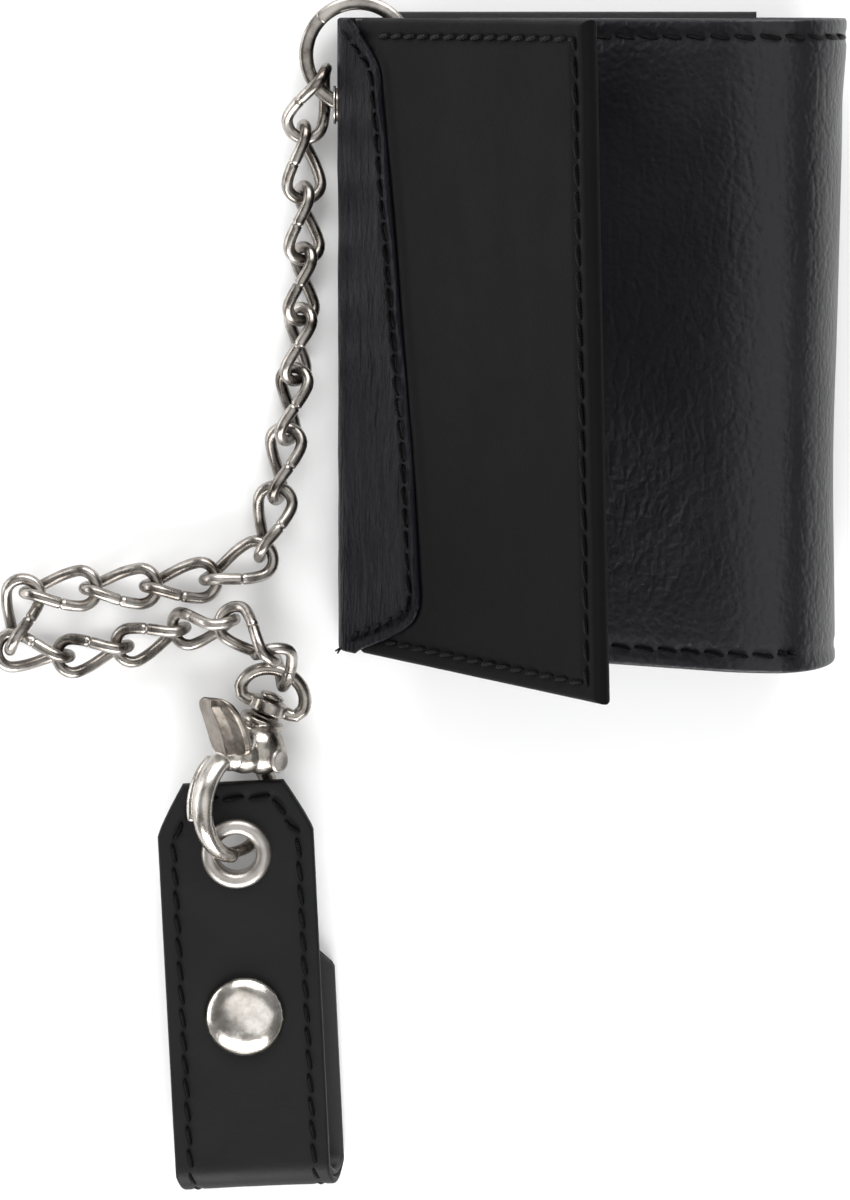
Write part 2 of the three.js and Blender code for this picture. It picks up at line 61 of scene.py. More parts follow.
# ---------------------------------------------------------------- sizes, as in the CAD (mm)
TOP = 54.0
LEATHER = 1.3
LINING = 0.7
GAP = 0.3
BACK_LEFT, BACK_RIGHT = -39.5, 30.5
FOLD_X, FOLD_Z, FOLD_R = -34.5, 8.0, 8.0
SPINE_CORNER = 3.0
FLAP_ANGLE = math.radians(56)
FLAP_LENGTH = 73.0
FLAP_ROOT = 3.0  # where the flap's own leather starts, from the fold's axis
SPINE_FLAT = 26.0  # how far the spine's sheet can run up the flap
FLAP_LEATHER = (1.0, 3.0)  # depth of the flap's outer face below the fold's, and its thickness
FLAP_TWIST = (0.6, 3.0)  # degrees added to the flap's angle at its lower and upper ends
BULGE_A, BULGE_B = 12.5, 19.0
PINCH = 1.4  # how far the right side draws in
PANEL_ARC, PANEL_SLOPE, PANEL_END = 22.0, 27.0, -22.0
RING_R, RING_CENTRE = 8.8, np.array([-39, 47.7, 5.6])
EYELET_R = 2.5
WIRE_R = 1.0
LINK_LENGTH, LINK_R, HOOK = 12.7, 3.2, 2.3
CHAIN_START = np.array([-45.8, 42, 5.5])
RING_REACH = 3.7
LINKS = [
    (-112, -6, 90), (-90, 0, 78), (-90, 0, 66), (-93, 0, 54), (-96, 0, 42),
    (-98, 0, 30), (-100, 0, 18), (-106, 0, 6), (-158, 0, 0), (-174, 0, 0),
    (-178, 0, 0), (-176, 0, 0), (-104, 0, 0), (-6, 0, 0), (10, 0, 0),
    (18, 0, 0), (14, 32, 0), (-42, 22, 0), (-80, -60, 0),
]
FOB_HALF_W = 13.5
FOB_TOP, FOB_BOTTOM, FOB_TILT = 12.4, -60.2, math.radians(2.6)
FOB_BEND_R, FOB_LOW = 4.9, 0.2
FOB_SHOULDER = 3.5
FOB_BACK_TOP, FOB_BACK_SHIFT = -18.0, 2.3
STRAP_DEPTH = 2.7  # the fob's leather and its lining
SNAP_Y, SNAP_R = -28.7, 7.0
GROMMET_HOLE_R, GROMMET_R = 3.4, 6.3
CLAW_R, CLAW_TILT = 8.6, math.radians(50)
SWIVEL_HEADING, SWIVEL_Z = math.radians(67.7), 5.6
EYE_TOP, EYE_WIRE_R = 11.6, 1.2
COLLAR = (3.9, 6.2)
PIN = (17.4, -1.6)

# Stitching
STITCH_PITCH = 4.2
THREAD_R = 0.4
STITCH_SLANT = 0.28
STITCH_RINGS, STITCH_SIDES = 9, 8
SEAM_MARGIN = 3.0


# ---------------------------------------------------------------- node materials
class Shader:
    """A principled material and short ways to add nodes to it."""

    def __init__(self, name, color, roughness, metallic=0.0, specular=0.5):
        self.material = bpy.data.materials.new(name)
        self.material.use_nodes = True
        self.nodes = self.material.node_tree.nodes
        self.links = self.material.node_tree.links
        self.surface = self.nodes["Principled BSDF"]
        self.surface.inputs["Base Color"].default_value = (*color, 1)
        self.surface.inputs["Roughness"].default_value = roughness
        self.surface.inputs["Metallic"].default_value = metallic
        self.surface.inputs["Specular IOR Level"].default_value = specular

    def node(self, kind, **values):
        made = self.nodes.new(kind)
        for key, value in values.items():
            if key in made.inputs:
                made.inputs[key].default_value = value
            else:
                setattr(made, key, value)
        return made

    def link(self, output, target):
        self.links.new(output, target)

    def coordinates(self, kind="UV", stretch=(1, 1, 1), turn=0.0, shift=(0, 0, 0)):
        source = self.node("ShaderNodeTexCoord")
        mapping = self.node("ShaderNodeMapping")
        mapping.inputs["Scale"].default_value = stretch
        mapping.inputs["Rotation"].default_value = (0, 0, turn)
        mapping.inputs["Location"].default_value = shift
        self.link(source.outputs[kind], mapping.inputs["Vector"])
        return mapping.outputs["Vector"]

    def noise(self, vector, scale, detail=3, roughness=0.55, distortion=0.0):
        made = self.node("ShaderNodeTexNoise", Scale=scale, Detail=detail,
                         Roughness=roughness, Distortion=distortion)
        self.link(vector, made.inputs["Vector"])
        return made.outputs["Fac"]

    def cells(self, vector, scale, feature="SMOOTH_F1"):
        made = self.node("ShaderNodeTexVoronoi", feature=feature)
        made.inputs["Scale"].default_value = scale
        self.link(vector, made.inputs["Vector"])
        return made.outputs["Distance"]

    def spread(self, value, low, high, to_low, to_high):
        made = self.node("ShaderNodeMapRange")
        for socket, number in zip(("From Min", "From Max", "To Min", "To Max"),
                                  (low, high, to_low, to_high)):
            made.inputs[socket].default_value = number
        self.link(value, made.inputs["Value"])
        return made.outputs["Result"]

    def math(self, operation, first, second):
        made = self.node("ShaderNodeMath", operation=operation)
        for socket, value in zip(made.inputs, (first, second)):
            if isinstance(value, (int, float)):
                socket.default_value = value
            else:
                self.link(value, socket)
        return made.outputs["Value"]

    def bump(self, height, distance, strength=1.0, after=None):
        made = self.node("ShaderNodeBump", Strength=strength, Distance=distance)
        self.link(height, made.inputs["Height"])
        if after is not None:
            self.link(after, made.inputs["Normal"])
        return made.outputs["Normal"]

    def mix(self, factor, dark, light):
        made = self.node("ShaderNodeMix", data_type="RGBA")
        made.inputs[6].default_value = (*dark, 1)
        made.inputs[7].default_value = (*light, 1)
        self.link(factor, made.inputs[0])
        return made.outputs[2]

    def use(self, normal=None, color=None, roughness=None):
        for value, name in ((normal, "Normal"), (color, "Base Color"), (roughness, "Roughness")):
            if value is not None:
                self.link(value, self.surface.inputs[name])
        return self.material


def creased_patch(made, flat, normal, centre, size):
    """Bumps of fine slanted creases that fade out around a centre, all in UV."""
    patch = made.node("ShaderNodeTexGradient", gradient_type="QUADRATIC_SPHERE")
    scale = [1 / side for side in size]
    shift = [-middle / side for middle, side in zip(centre, size)]
    made.link(made.coordinates(stretch=scale, shift=shift), patch.inputs["Vector"])
    bent = made.node("ShaderNodeVectorMath", operation="ADD")
    made.link(made.coordinates(stretch=(1, 0.42, 1), turn=-0.45), bent.inputs[0])
    wander = made.node("ShaderNodeTexNoise", Scale=22, Detail=3)
    made.link(flat, wander.inputs["Vector"])
    small = made.node("ShaderNodeVectorMath", operation="SCALE")
    small.inputs["Scale"].default_value = 0.028
    made.link(wander.outputs["Color"], small.inputs[0])
    made.link(small.outputs[0], bent.inputs[1])
    cracks = made.spread(made.cells(bent.outputs[0], 46, "DISTANCE_TO_EDGE"), 0.0, 0.36, 0.0, 1.0)
    fade = made.spread(patch.outputs["Fac"], 0.0, 0.5, 0.0, 1.0)
    return made.bump(made.math("MULTIPLY", cracks, fade), 0.0003, 0.55, normal)


def grain_leather(name, specular, folds, creases=None, gloss=0.0, wrinkled=False):
    """Pebbled black leather: fine cells, a web of small creases, and long soft wrinkles.
    creases is the UV centre and size of a creased patch."""
    made = Shader(name, (0.006, 0.006, 0.0075), 0.4, specular=specular)
    flat = made.coordinates()
    pores = made.noise(flat, 260, 2)
    long_folds = made.noise(made.coordinates(stretch=(1, 0.28, 1), turn=-0.35), 11, 4, 0.6, 1.2)
    normal = made.bump(long_folds, 0.0002, folds)
    if wrinkled:
        wrinkles = made.noise(made.coordinates(stretch=(1, 0.16, 1), turn=-0.12), 48, 4, 0.6, 0.6)
        normal = made.bump(wrinkles, 0.0013, 1.0, normal)
    web = made.cells(made.coordinates(stretch=(1, 0.45, 1), turn=0.3), 34, "DISTANCE_TO_EDGE")
    normal = made.bump(made.spread(web, 0.0, 0.16, 0.0, 1.0), 0.00009, 0.45, normal)
    if creases:
        normal = creased_patch(made, flat, normal, *creases)
    normal = made.bump(made.cells(flat, 105), 0.00014, 0.85, normal)
    normal = made.bump(pores, 0.00007, 0.6, normal)
    patches = made.noise(flat, 3.5, 3)
    uneven = made.math("ADD", patches, made.math("MULTIPLY", pores, 0.25))
    rough = made.spread(uneven, 0.35, 0.9, 0.33 - gloss, 0.5 - gloss)
    color = made.mix(patches, (0.0032, 0.0032, 0.0044), (0.0058, 0.0057, 0.0082))
    return made.use(normal, color, rough)


def smooth_leather(name, specular, shade=1.0):
    """Charcoal leather with an even, matte face and only a fine tooth."""
    made = Shader(name, (0.009, 0.009, 0.0092), 0.55, specular=specular)
    flat = made.coordinates()
    tooth = made.cells(flat, 210)
    haze = made.noise(flat, 7, 5, 0.6)
    scuffs = made.noise(made.coordinates(stretch=(1, 6, 1), turn=0.5), 30, 3)
    normal = made.bump(haze, 0.0002, 0.3)
    normal = made.bump(tooth, 0.00006, 0.5, normal)
    uneven = made.math("ADD", haze, made.math("MULTIPLY", scuffs, 0.4))
    dark = [shade * part for part in (0.006, 0.0061, 0.0061)]
    light = [shade * part for part in (0.0088, 0.0089, 0.0088)]
    return made.use(normal, made.mix(haze, dark, light), made.spread(uneven, 0.45, 0.95, 0.44, 0.6))


def lining_leather():
    made = Shader("lining_leather", (0.012, 0.012, 0.013), 0.62)
    flat = made.coordinates()
    tooth = made.cells(flat, 170)
    haze = made.noise(flat, 9, 4)
    color = made.mix(haze, (0.0065, 0.0065, 0.007), (0.0115, 0.0112, 0.012))
    return made.use(made.bump(tooth, 0.00008, 0.6), color, made.spread(haze, 0.3, 0.8, 0.55, 0.72))


def thread():
    made = Shader("waxed_thread", (0.003, 0.003, 0.003), 0.6, specular=0.08)
    twist = made.node("ShaderNodeTexWave")
    twist.inputs["Scale"].default_value = 90
    made.link(made.coordinates("UV", turn=0.7), twist.inputs["Vector"])
    height = twist.outputs["Fac"]
    color = made.mix(height, (0.001, 0.001, 0.001), (0.0026, 0.0026, 0.0028))
    return made.use(made.bump(height, 0.00012, 1.0), color, made.spread(height, 0, 1, 0.5, 0.28))


def nickel(name, light, dark, rough_low, rough_high, grime, inner_shade=False):
    """Antique nickel: bright in some random patches and brown-grey in others, finely scratched. With
    inner_shade, painted shade also darkens the side of a bar that faces its loop's middle.
    """
    made = Shader(name, light, rough_low, 1.0)
    where = made.coordinates("Object")
    stains = made.noise(where, 210, 5, 0.6)
    streaks = made.noise(made.coordinates("Object", (1, 1, 7)), 520, 3)
    scratches = made.noise(made.coordinates("Object", (9, 1, 1), 0.6), 900, 2)
    wear_and_shade = made.spread(stains, 0.5 - grime, 0.5 + grime, 0.0, 1.0)
    if inner_shade:
        # A bar's UV runs from 0 on the side that faces its loop's middle to 1 on the outside. The colour
        # darkens towards the inside: painted shade.
        side = made.node("ShaderNodeSeparateXYZ")
        made.link(made.coordinates(), side.inputs[0])
        wear_and_shade = made.math("MULTIPLY", wear_and_shade, made.spread(side.outputs["Y"], 0.0, 0.45, 0.25, 1.0))
    color = made.mix(wear_and_shade, dark, light)
    rough = made.spread(made.math("ADD", stains, streaks), 0.7, 1.3, rough_low, rough_high)
    normal = made.bump(streaks, 0.00003, 0.35)
    normal = made.bump(scratches, 0.00001, 0.35, normal)
    return made.use(normal, color, rough)


def window_film():
    made = Shader("window_film", (0.55, 0.57, 0.6), 0.12)
    made.surface.inputs["Alpha"].default_value = 0.4
    haze = made.noise(made.coordinates(), 14, 3)
    return made.use(made.bump(haze, 0.0001, 0.3), None, made.spread(haze, 0.3, 0.7, 0.08, 0.2))


def floor_material():
    made = Shader("pale_floor", (0.93, 0.93, 0.93), 0.9, specular=0.1)
    haze = made.noise(made.coordinates("Object"), 3, 2)
    return made.use(None, made.mix(haze, (0.92, 0.92, 0.92), (0.94, 0.94, 0.94)))


GRAIN = grain_leather("grain_leather", 0.38, 0.35, ((0.76, -0.24, 0), (0.27, 0.36, 1)))
TAB_GRAIN = grain_leather("soft_grain_leather", 0.07, 1.0, gloss=0.08, wrinkled=True)
SMOOTH = smooth_leather("smooth_leather", 0.14)
SUEDE = smooth_leather("matte_leather", 0.03, 0.72)
LINER = lining_leather()
THREAD = thread()
METAL = nickel("antique_nickel", (0.5, 0.47, 0.43), (0.15, 0.13, 0.11), 0.2, 0.36, 0.16)
# The chain's and split ring's nickel: random patina, plus painted shade on the side of each bar that faces
# its loop's middle.
WIRE = nickel("nickel_painted_inner_shade", (0.5, 0.47, 0.435), (0.12, 0.104, 0.09), 0.22, 0.38, 0.18, True)
# A darker and a lighter copy of the nickel, for the lever and the arm of one cast gate: painted shade on
# the lever, painted light on the arm.
SHADED_NICKEL = nickel("nickel_painted_shade", (0.34, 0.31, 0.275), (0.07, 0.055, 0.042), 0.24, 0.4, 0.26)
LIT_NICKEL = nickel("nickel_painted_light", (0.66, 0.63, 0.585), (0.27, 0.245, 0.215), 0.22, 0.36, 0.16)
SATIN = nickel("satin_nickel", (0.5, 0.475, 0.45), (0.34, 0.315, 0.29), 0.36, 0.46, 0.2)
BRIGHT = nickel("bright_nickel", (0.8, 0.765, 0.72), (0.5, 0.46, 0.41), 0.16, 0.3, 0.1)
FILM = window_film()


# ---------------------------------------------------------------- mesh helpers
def mesh_object(name, points, faces, material, uvs=None, merge=0.0):
    """A smooth mesh object from points in millimetres, with its faces turned outwards."""
    mesh = bpy.data.meshes.new(name)
    mesh.from_pydata((np.asarray(points, float) * MM).tolist(), [], faces)
    if uvs is not None:
        layer = mesh.uv_layers.new(name="flat")
        corner = np.empty(len(mesh.loops), np.int64)
        mesh.loops.foreach_get("vertex_index", corner)
        layer.data.foreach_set("uv", np.asarray(uvs, np.float32)[corner].ravel())
    work = bmesh.new()
    work.from_mesh(mesh)
    if merge:
        bmesh.ops.remove_doubles(work, verts=work.verts, dist=merge * MM)
        bmesh.ops.dissolve_degenerate(work, edges=work.edges, dist=merge * MM / 2)
    bmesh.ops.recalc_face_normals(work, faces=work.faces)
    for face in work.faces:
        face.smooth = True
    work.to_mesh(mesh)
    work.free()
    mesh.materials.append(material)
    made = bpy.data.objects.new(name, mesh)
    bpy.context.scene.collection.objects.link(made)
    return made


def ring_faces(rows, sides, closed=False, base=0):
    """Quads between neighbouring rings of points. closed joins the last ring to the first."""
    faces = []
    for i in range(rows if closed else rows - 1):
        here = base + i * sides
        there = base + (i + 1) % rows * sides
        for k in range(sides):
            m = (k + 1) % sides
            faces.append((here + k, here + m, there + m, there + k))
    return faces


def end_caps(rows, sides, base=0):
    last = base + (rows - 1) * sides
    return [tuple(range(base, base + sides))[::-1], tuple(range(last, last + sides))]


def place(piece, body, slot, *nodes):
    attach(piece, body)
    return stand_for(piece, slot, *nodes)


def stand_for(piece, slot, *nodes):
    if nodes:
        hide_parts(*nodes)
    return piece


def apply_modifiers(piece):
    graph = bpy.context.evaluated_depsgraph_get()
    mesh = bpy.data.meshes.new_from_object(piece.evaluated_get(graph))
    piece.modifiers.clear()
    piece.data = mesh
    return piece


def merged_casting(name, parts, material, voxel, smooth=4):
    """Closed pieces melted into one cast body with softened joints."""
    work = bmesh.new()
    for part in parts:
        work.from_mesh(part.data)
        bpy.data.objects.remove(part)
    mesh = bpy.data.meshes.new(name)
    work.to_mesh(mesh)
    work.free()
    mesh.materials.append(material)
    made = bpy.data.objects.new(name, mesh)
    bpy.context.scene.collection.objects.link(made)
    remesh = made.modifiers.new("melt", "REMESH")
    remesh.mode = "VOXEL"
    remesh.voxel_size = voxel * MM
    remesh.use_smooth_shade = True
    relax = made.modifiers.new("relax", "SMOOTH")
    relax.iterations = smooth
    relax.factor = 0.5
    apply_modifiers(made)
    for face in made.data.polygons:
        face.use_smooth = True
    return made


def cut_round_hole(piece, centre, radius, depth=12):
    """Cuts a hole along +Z through a piece, at a centre given in millimetres."""
    tool = lathe("hole_tool", [(0, -depth), (radius, -depth), (radius, depth), (0, depth)], METAL,
                 Matrix.Translation(Vector(centre)), 48)
    cutter = piece.modifiers.new("hole", "BOOLEAN")
    cutter.object = tool
    cutter.solver = "EXACT"
    apply_modifiers(piece)
    bpy.data.objects.remove(tool)
    return piece


def lathe(name, profile, material, matrix=Matrix(), segments=64, close=False):
    """A profile of (radius, height) turned about +Z, then placed by a matrix in millimetres."""
    points = []
    for radius, height in profile:
        for k in range(segments):
            angle = 2 * math.pi * k / segments
            points.append(matrix @ Vector((radius * math.cos(angle), radius * math.sin(angle), height)))
    faces = ring_faces(len(profile), segments, close)
    return mesh_object(name, np.array(points), faces, material, merge=0.002)


def rounded(profile, radius, steps=5):
    """Rounds the corners of a profile of (radius, height), leaving points on the axis alone."""
    out = []
    for i, point in enumerate(profile):
        here = np.array(point, float)
        if i in (0, len(profile) - 1) and here[0] == 0:
            out.append(tuple(here))
            continue
        before = np.array(profile[i - 1], float) - here
        after = np.array(profile[(i + 1) % len(profile)], float) - here
        reach = min(radius, np.linalg.norm(before) / 2.1, np.linalg.norm(after) / 2.1)
        start = here + before / np.linalg.norm(before) * reach
        end = here + after / np.linalg.norm(after) * reach
        for k in range(steps + 1):
            t = k / steps
            out.append(tuple((1 - t) ** 2 * start + 2 * t * (1 - t) * here + t * t * end))
    return out


def tube(name, points, sideways, radii, material, sides=20, closed=False):
    """A bar along points. sideways is the section's first direction and radii its two radii,
    once for the whole bar or once for every point. Open ends are domed."""
    points = np.asarray(points, float)
    count = len(points)
    sideways = np.broadcast_to(np.asarray(sideways, float), (count, 3))
    radii = np.broadcast_to(np.asarray(radii, float), (count, 2))
    rings = []
    for i in range(count):
        if closed:
            along = points[(i + 1) % count] - points[i - 1]
        else:
            along = points[min(i + 1, count - 1)] - points[max(i - 1, 0)]
        along /= np.linalg.norm(along)
        side = sideways[i] - along * sideways[i].dot(along)
        side /= np.linalg.norm(side)
        rings.append((points[i], along, side, np.cross(along, side), *radii[i]))
    if not closed:
        rings = domed(rings[0], -1)[::-1] + rings[1:-1] + domed(rings[-1], 1)
    out = []
    for centre, _, side, over, a, b in rings:
        for k in range(sides):
            angle = 2 * math.pi * k / sides
            out.append(centre + side * a * math.cos(angle) + over * b * math.sin(angle))
    faces = ring_faces(len(rings), sides, closed)
    if not closed:
        faces += end_caps(len(rings), sides)
    uvs = [(i * 0.01, abs(2 * k / sides - 1)) for i in range(len(rings)) for k in range(sides)]
    return mesh_object(name, out, faces, material, uvs)


def domed(ring, way, steps=5):
    """Shrinking rings that round off a bar's end."""
    centre, along, side, over, a, b = ring
    made = []
    for k in range(steps + 1):
        angle = math.pi / 2 * k / (steps + 0.4)
        lift = way * min(a, b) * 0.8 * math.sin(angle)
        made.append((centre + along * lift, along, side, over, a * math.cos(angle), b * math.cos(angle)))
    return made


def ellipsoid(name, centre, axes, sizes, material=METAL, segments=24):
    """A ball stretched along three directions."""
    points = []
    rows = segments // 2 + 1
    for polar in np.linspace(0, math.pi, rows):
        for k in range(segments):
            angle = 2 * math.pi * k / segments
            local = (math.sin(polar) * math.cos(angle), math.sin(polar) * math.sin(angle), math.cos(polar))
            parts = zip(axes, sizes, local)
            points.append(centre + sum(np.asarray(axis) * size * part for axis, size, part in parts))
    return mesh_object(name, points, ring_faces(rows, segments), material, merge=0.002)


# ---------------------------------------------------------------- leather sheets
ALONG_FLAP = np.array([math.cos(FLAP_ANGLE), 0, math.sin(FLAP_ANGLE)])
OFF_FLAP = np.array([-math.sin(FLAP_ANGLE), 0, math.cos(FLAP_ANGLE)])
FLAP_AXIS = np.array([FOLD_X, 0, FOLD_Z])


class Profile:
    """A line (x, z) seen along Y, by arc length, with its outward side."""

    def __init__(self, points, side):
        points = np.asarray(points, float)
        steps = np.linalg.norm(np.diff(points, axis=0), axis=1)
        self.s = np.concatenate([[0], np.cumsum(steps)])
        self.length = self.s[-1]
        self.points = points
        fine = np.linspace(0, self.length, 600)
        x = np.interp(fine, self.s, points[:, 0])
        z = np.interp(fine, self.s, points[:, 1])
        kernel = np.ones(9) / 9
        tx = np.convolve(np.pad(np.gradient(x), 4, "edge"), kernel, "valid")
        tz = np.convolve(np.pad(np.gradient(z), 4, "edge"), kernel, "valid")
        size = np.hypot(tx, tz)
        self.fine = fine
        self.nx = -tz / size * side
        self.nz = tx / size * side

    def __call__(self, s, y):
        x = np.interp(s, self.s, self.points[:, 0])
        z = np.interp(s, self.s, self.points[:, 1])
        nx = np.interp(s, self.fine, self.nx)
        nz = np.interp(s, self.fine, self.nz)
        size = np.hypot(nx, nz)
        point = np.stack([x, y, z], -1)
        return point, np.stack([nx / size, np.zeros_like(nx), nz / size], -1)


def smooth_step(share):
    share = np.clip(share, 0, 1)
    return share * share * (3 - 2 * share)


class Twisted:
    """A surface of the open flap, which stands steeper towards its upper end."""

    def __init__(self, surface):
        self.surface = surface

    def __call__(self, u, v):
        point, normal = self.surface(u, v)
        reach = (point - FLAP_AXIS) @ ALONG_FLAP
        share = smooth_step(reach / 15)
        low, high = FLAP_TWIST
        turn = share * np.radians(low + (high - low) * (point[..., 1] + TOP) / (2 * TOP))
        return turned_about_fold(point, turn, FOLD_X, FOLD_Z), turned_about_fold(normal, turn, 0, 0)


def turned_about_fold(vector, turn, x0, z0):
    x, z = vector[..., 0] - x0, vector[..., 2] - z0
    cos, sin = np.cos(turn), np.sin(turn)
    return np.stack([x0 + x * cos - z * sin, vector[..., 1], z0 + x * sin + z * cos], -1)


class Pinched:
    """A surface whose right side draws in below its upper corner."""

    def __init__(self, surface):
        self.surface = surface

    def __call__(self, u, v):
        point, normal = self.surface(u, v)
        beyond = np.clip((point[..., 0] - BACK_RIGHT) / BULGE_A, 0, None)
        low = smooth_step((TOP - 3 - v) / 12)
        low *= 0.75 + 0.25 * np.cos(np.pi * (v + 15) / 60)
        point = point.copy()
        point[..., 0] -= PINCH * beyond * low
        return point, normal


class Plane:
    """A flat face: u and v in millimetres along two directions from an origin."""

    def __init__(self, origin, u_way, v_way):
        self.origin, self.u_way, self.v_way = (np.asarray(a, float) for a in (origin, u_way, v_way))
        self.normal = np.cross(self.u_way, self.v_way)

    def __call__(self, u, v):
        point = self.origin + u[..., None] * self.u_way + v[..., None] * self.v_way
        return point, np.broadcast_to(self.normal, point.shape).copy()


def graded(low, high, step, edge):
    """Values from low to high, close together within an edge's rounding."""
    rim = edge * (1 - np.cos(np.linspace(0, math.pi / 2, 6)))
    middle = np.linspace(low + edge, high - edge, max(2, int((high - low - 2 * edge) / step)))
    return np.concatenate([low + rim[:-1], middle, (high - rim[:-1])[::-1]])


def grid(u_line, v_line):
    return np.meshgrid(u_line, v_line, indexing="ij")


def arc(x, z, a, b, start, end, steps=24):
    angles = np.radians(np.linspace(start, end, steps + 1))
    return [(x + a * math.cos(t), z + b * math.sin(t)) for t in angles]


def turned_edge(distance, radius):
    """1 away from an edge, falling to 0 at it, along a quarter circle."""
    inside = np.clip(distance / radius, 0, 1)
    return np.sqrt(np.clip(1 - (1 - inside) ** 2, 0, 1))


def sheet(name, surface, u, v, distance, thickness, material, relief=None, edge=0.7):
    """A padded leather sheet. u and v are grids in millimetres, and distance is how far each
    grid point is from a turned edge. relief(u, v) lifts the outer face."""
    point, normal = surface(u, v)
    full = turned_edge(distance, edge)
    inset = thickness / 2 * (1 - full)
    lift = np.zeros_like(u) if relief is None else relief(u, v) * full
    outer = point - normal * (inset - lift)[..., None]
    inner = point - normal * (thickness - inset)[..., None]
    rows, cols = u.shape
    size = rows * cols
    index = np.arange(size).reshape(rows, cols)
    faces = []
    for i in range(rows - 1):
        for j in range(cols - 1):
            a, b, c, d = index[i, j], index[i + 1, j], index[i + 1, j + 1], index[i, j + 1]
            faces.append((a, b, c, d))
            faces.append((size + d, size + c, size + b, size + a))
    rim = list(index[:, 0]) + list(index[-1, 1:]) + list(index[-2::-1, -1]) + list(index[0, -2:0:-1])
    for a, b in zip(rim, rim[1:] + rim[:1]):
        faces.append((b, a, size + a, size + b))
    uv = np.stack([u, v], -1).reshape(-1, 2) / 100
    points = np.concatenate([outer.reshape(-1, 3), inner.reshape(-1, 3)])
    return mesh_object(name, points, [tuple(int(k) for k in f) for f in faces], material,
                       np.concatenate([uv, uv + 0.37]), merge=0.004)


def box_distance(u, v, left=True, right=True, low=True, high=True):
    """Distance from the outline of a square grid, for the sides that are real edges."""
    far = np.full_like(u, 99.0)
    sides = [(left, u - u.min()), (right, u.max() - u), (low, v - v.min()), (high, v.max() - v)]
    for wanted, away in sides:
        if wanted:
            far = np.minimum(far, away)
    return far


def rough_noise(u, v, size, seed, octaves=3):
    """Smooth random heights, about -1 to 1, with features about size mm across."""
    flat = [noise.fractal(Vector((a / size, b / size, seed)), 0.9, 2.1, octaves)
            for a, b in zip(u.ravel(), v.ravel())]
    return np.array(flat).reshape(u.shape)


def groove(distance, at, width, depth):
    return -depth * np.exp(-((distance - at) / width) ** 2)


def sunk(surface, depth):
    """The same surface, a little further in, for the thread of a seam."""
    def face(u, v):
        point, normal = surface(u, v)
        return point - normal * depth, normal
    return face


def stitches(name, surface, path, body=None, blended=None, pitch=STITCH_PITCH, radius=THREAD_R):
    """A row of sewn stitches along a path of (u, v) on a surface. It rides one body, or, when
    blended is given, is left where it is built without a body."""
    path = np.asarray(path, float)
    travelled = np.concatenate([[0], np.cumsum(np.linalg.norm(np.diff(path, axis=0), axis=1))])
    count = max(1, round(travelled[-1] / pitch))
    pitch = travelled[-1] / count
    points = []
    faces = []
    for k in range(count):
        s = (k + 0.5) * pitch + np.linspace(-0.44, 0.44, STITCH_RINGS) * pitch
        u = np.interp(s, travelled, path[:, 0])
        v = np.interp(s, travelled, path[:, 1])
        faces += ring_faces(STITCH_RINGS, STITCH_SIDES, base=len(points))
        faces += end_caps(STITCH_RINGS, STITCH_SIDES, len(points))
        points += stitch_points(surface, u, v, radius)
    made = mesh_object(name, points, faces, THREAD, np.array(points)[:, :2] / 100)
    if blended:
        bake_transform(made)
    else:
        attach(made, body)


def stitch_points(surface, u, v, radius):
    """Rings of a slanted stitch, which rises in its middle and dips into the leather at its ends."""
    t = np.linspace(-1, 1, STITCH_RINGS)
    slant = STITCH_SLANT * t / max(np.hypot(u[-1] - u[0], v[-1] - v[0]), 1)
    u, v = u - slant * (v[-1] - v[0]), v + slant * (u[-1] - u[0])
    foot, normal = surface(u, v)
    height = radius * 0.75 * (1 - t ** 4) - radius * 0.75 * t ** 8
    centre = foot + normal * height[:, None]
    along = np.gradient(centre, axis=0)
    along /= np.linalg.norm(along, axis=1)[:, None]
    across = np.cross(along, normal)
    across /= np.linalg.norm(across, axis=1)[:, None]
    up = np.cross(across, along)
    points = []
    for i in range(STITCH_RINGS):
        r = radius * 0.3
        if abs(t[i]) < 1:
            r = radius * (0.55 + 0.45 * math.cos(t[i] * math.pi / 2) ** 0.5)
        for j in range(STITCH_SIDES):
            angle = 2 * math.pi * j / STITCH_SIDES
            points.append(centre[i] + across[i] * r * math.cos(angle) + up[i] * r * math.sin(angle))
    return points


# ---------------------------------------------------------------- camera, light and floor
def set_the_camera(scene):
    data = bpy.data.cameras.new("camera")
    data.lens = 140
    data.sensor_width = 36
    data.clip_end = 10
    camera = bpy.data.objects.new("camera", data)
    camera.location = (-0.0276, 0.058, 0.805)
    camera.rotation_euler = (math.radians(-7.4), 0, 0)
    scene.collection.objects.link(camera)
    scene.camera = camera


def lay_the_floor():
    bpy.ops.mesh.primitive_plane_add(size=4, location=(0, 0, 0))
    floor = bpy.context.object
    floor.name = "floor"
    floor.data.materials.append(floor_material())


def light_the_scene(scene):
    lamps = [
        ("north", (0.1, 1.05, 0.6), 1.3, 0.7, 21.0),
        ("south", (-0.1, -1.1, 0.5), 1.3, 0.6, 24.0),
        ("left", (-1.15, 0.1, 0.25), 1.2, 0.3, 6.0),
        ("over", (0.08, -0.1, 1.3), 1.0, 1.9, 6.0),
    ]
    for name, where, width, height, power in lamps:
        data = bpy.data.lights.new(name, "AREA")
        data.shape = "RECTANGLE"
        data.size = width
        data.size_y = height
        data.energy = power
        lamp = bpy.data.objects.new(name, data)
        lamp.location = where
        aim = Vector((-0.02, -0.02, 0.01)) - Vector(where)
        lamp.rotation_euler = aim.to_track_quat("-Z", "Y").to_euler()
        scene.collection.objects.link(lamp)

    world = bpy.data.worlds.new("studio")
    world.use_nodes = True
    background = world.node_tree.nodes["Background"]
    background.inputs["Color"].default_value = (1, 1, 1, 1)
    background.inputs["Strength"].default_value = 0.2
    scene.world = world
    scene.view_settings.view_transform = "Standard"


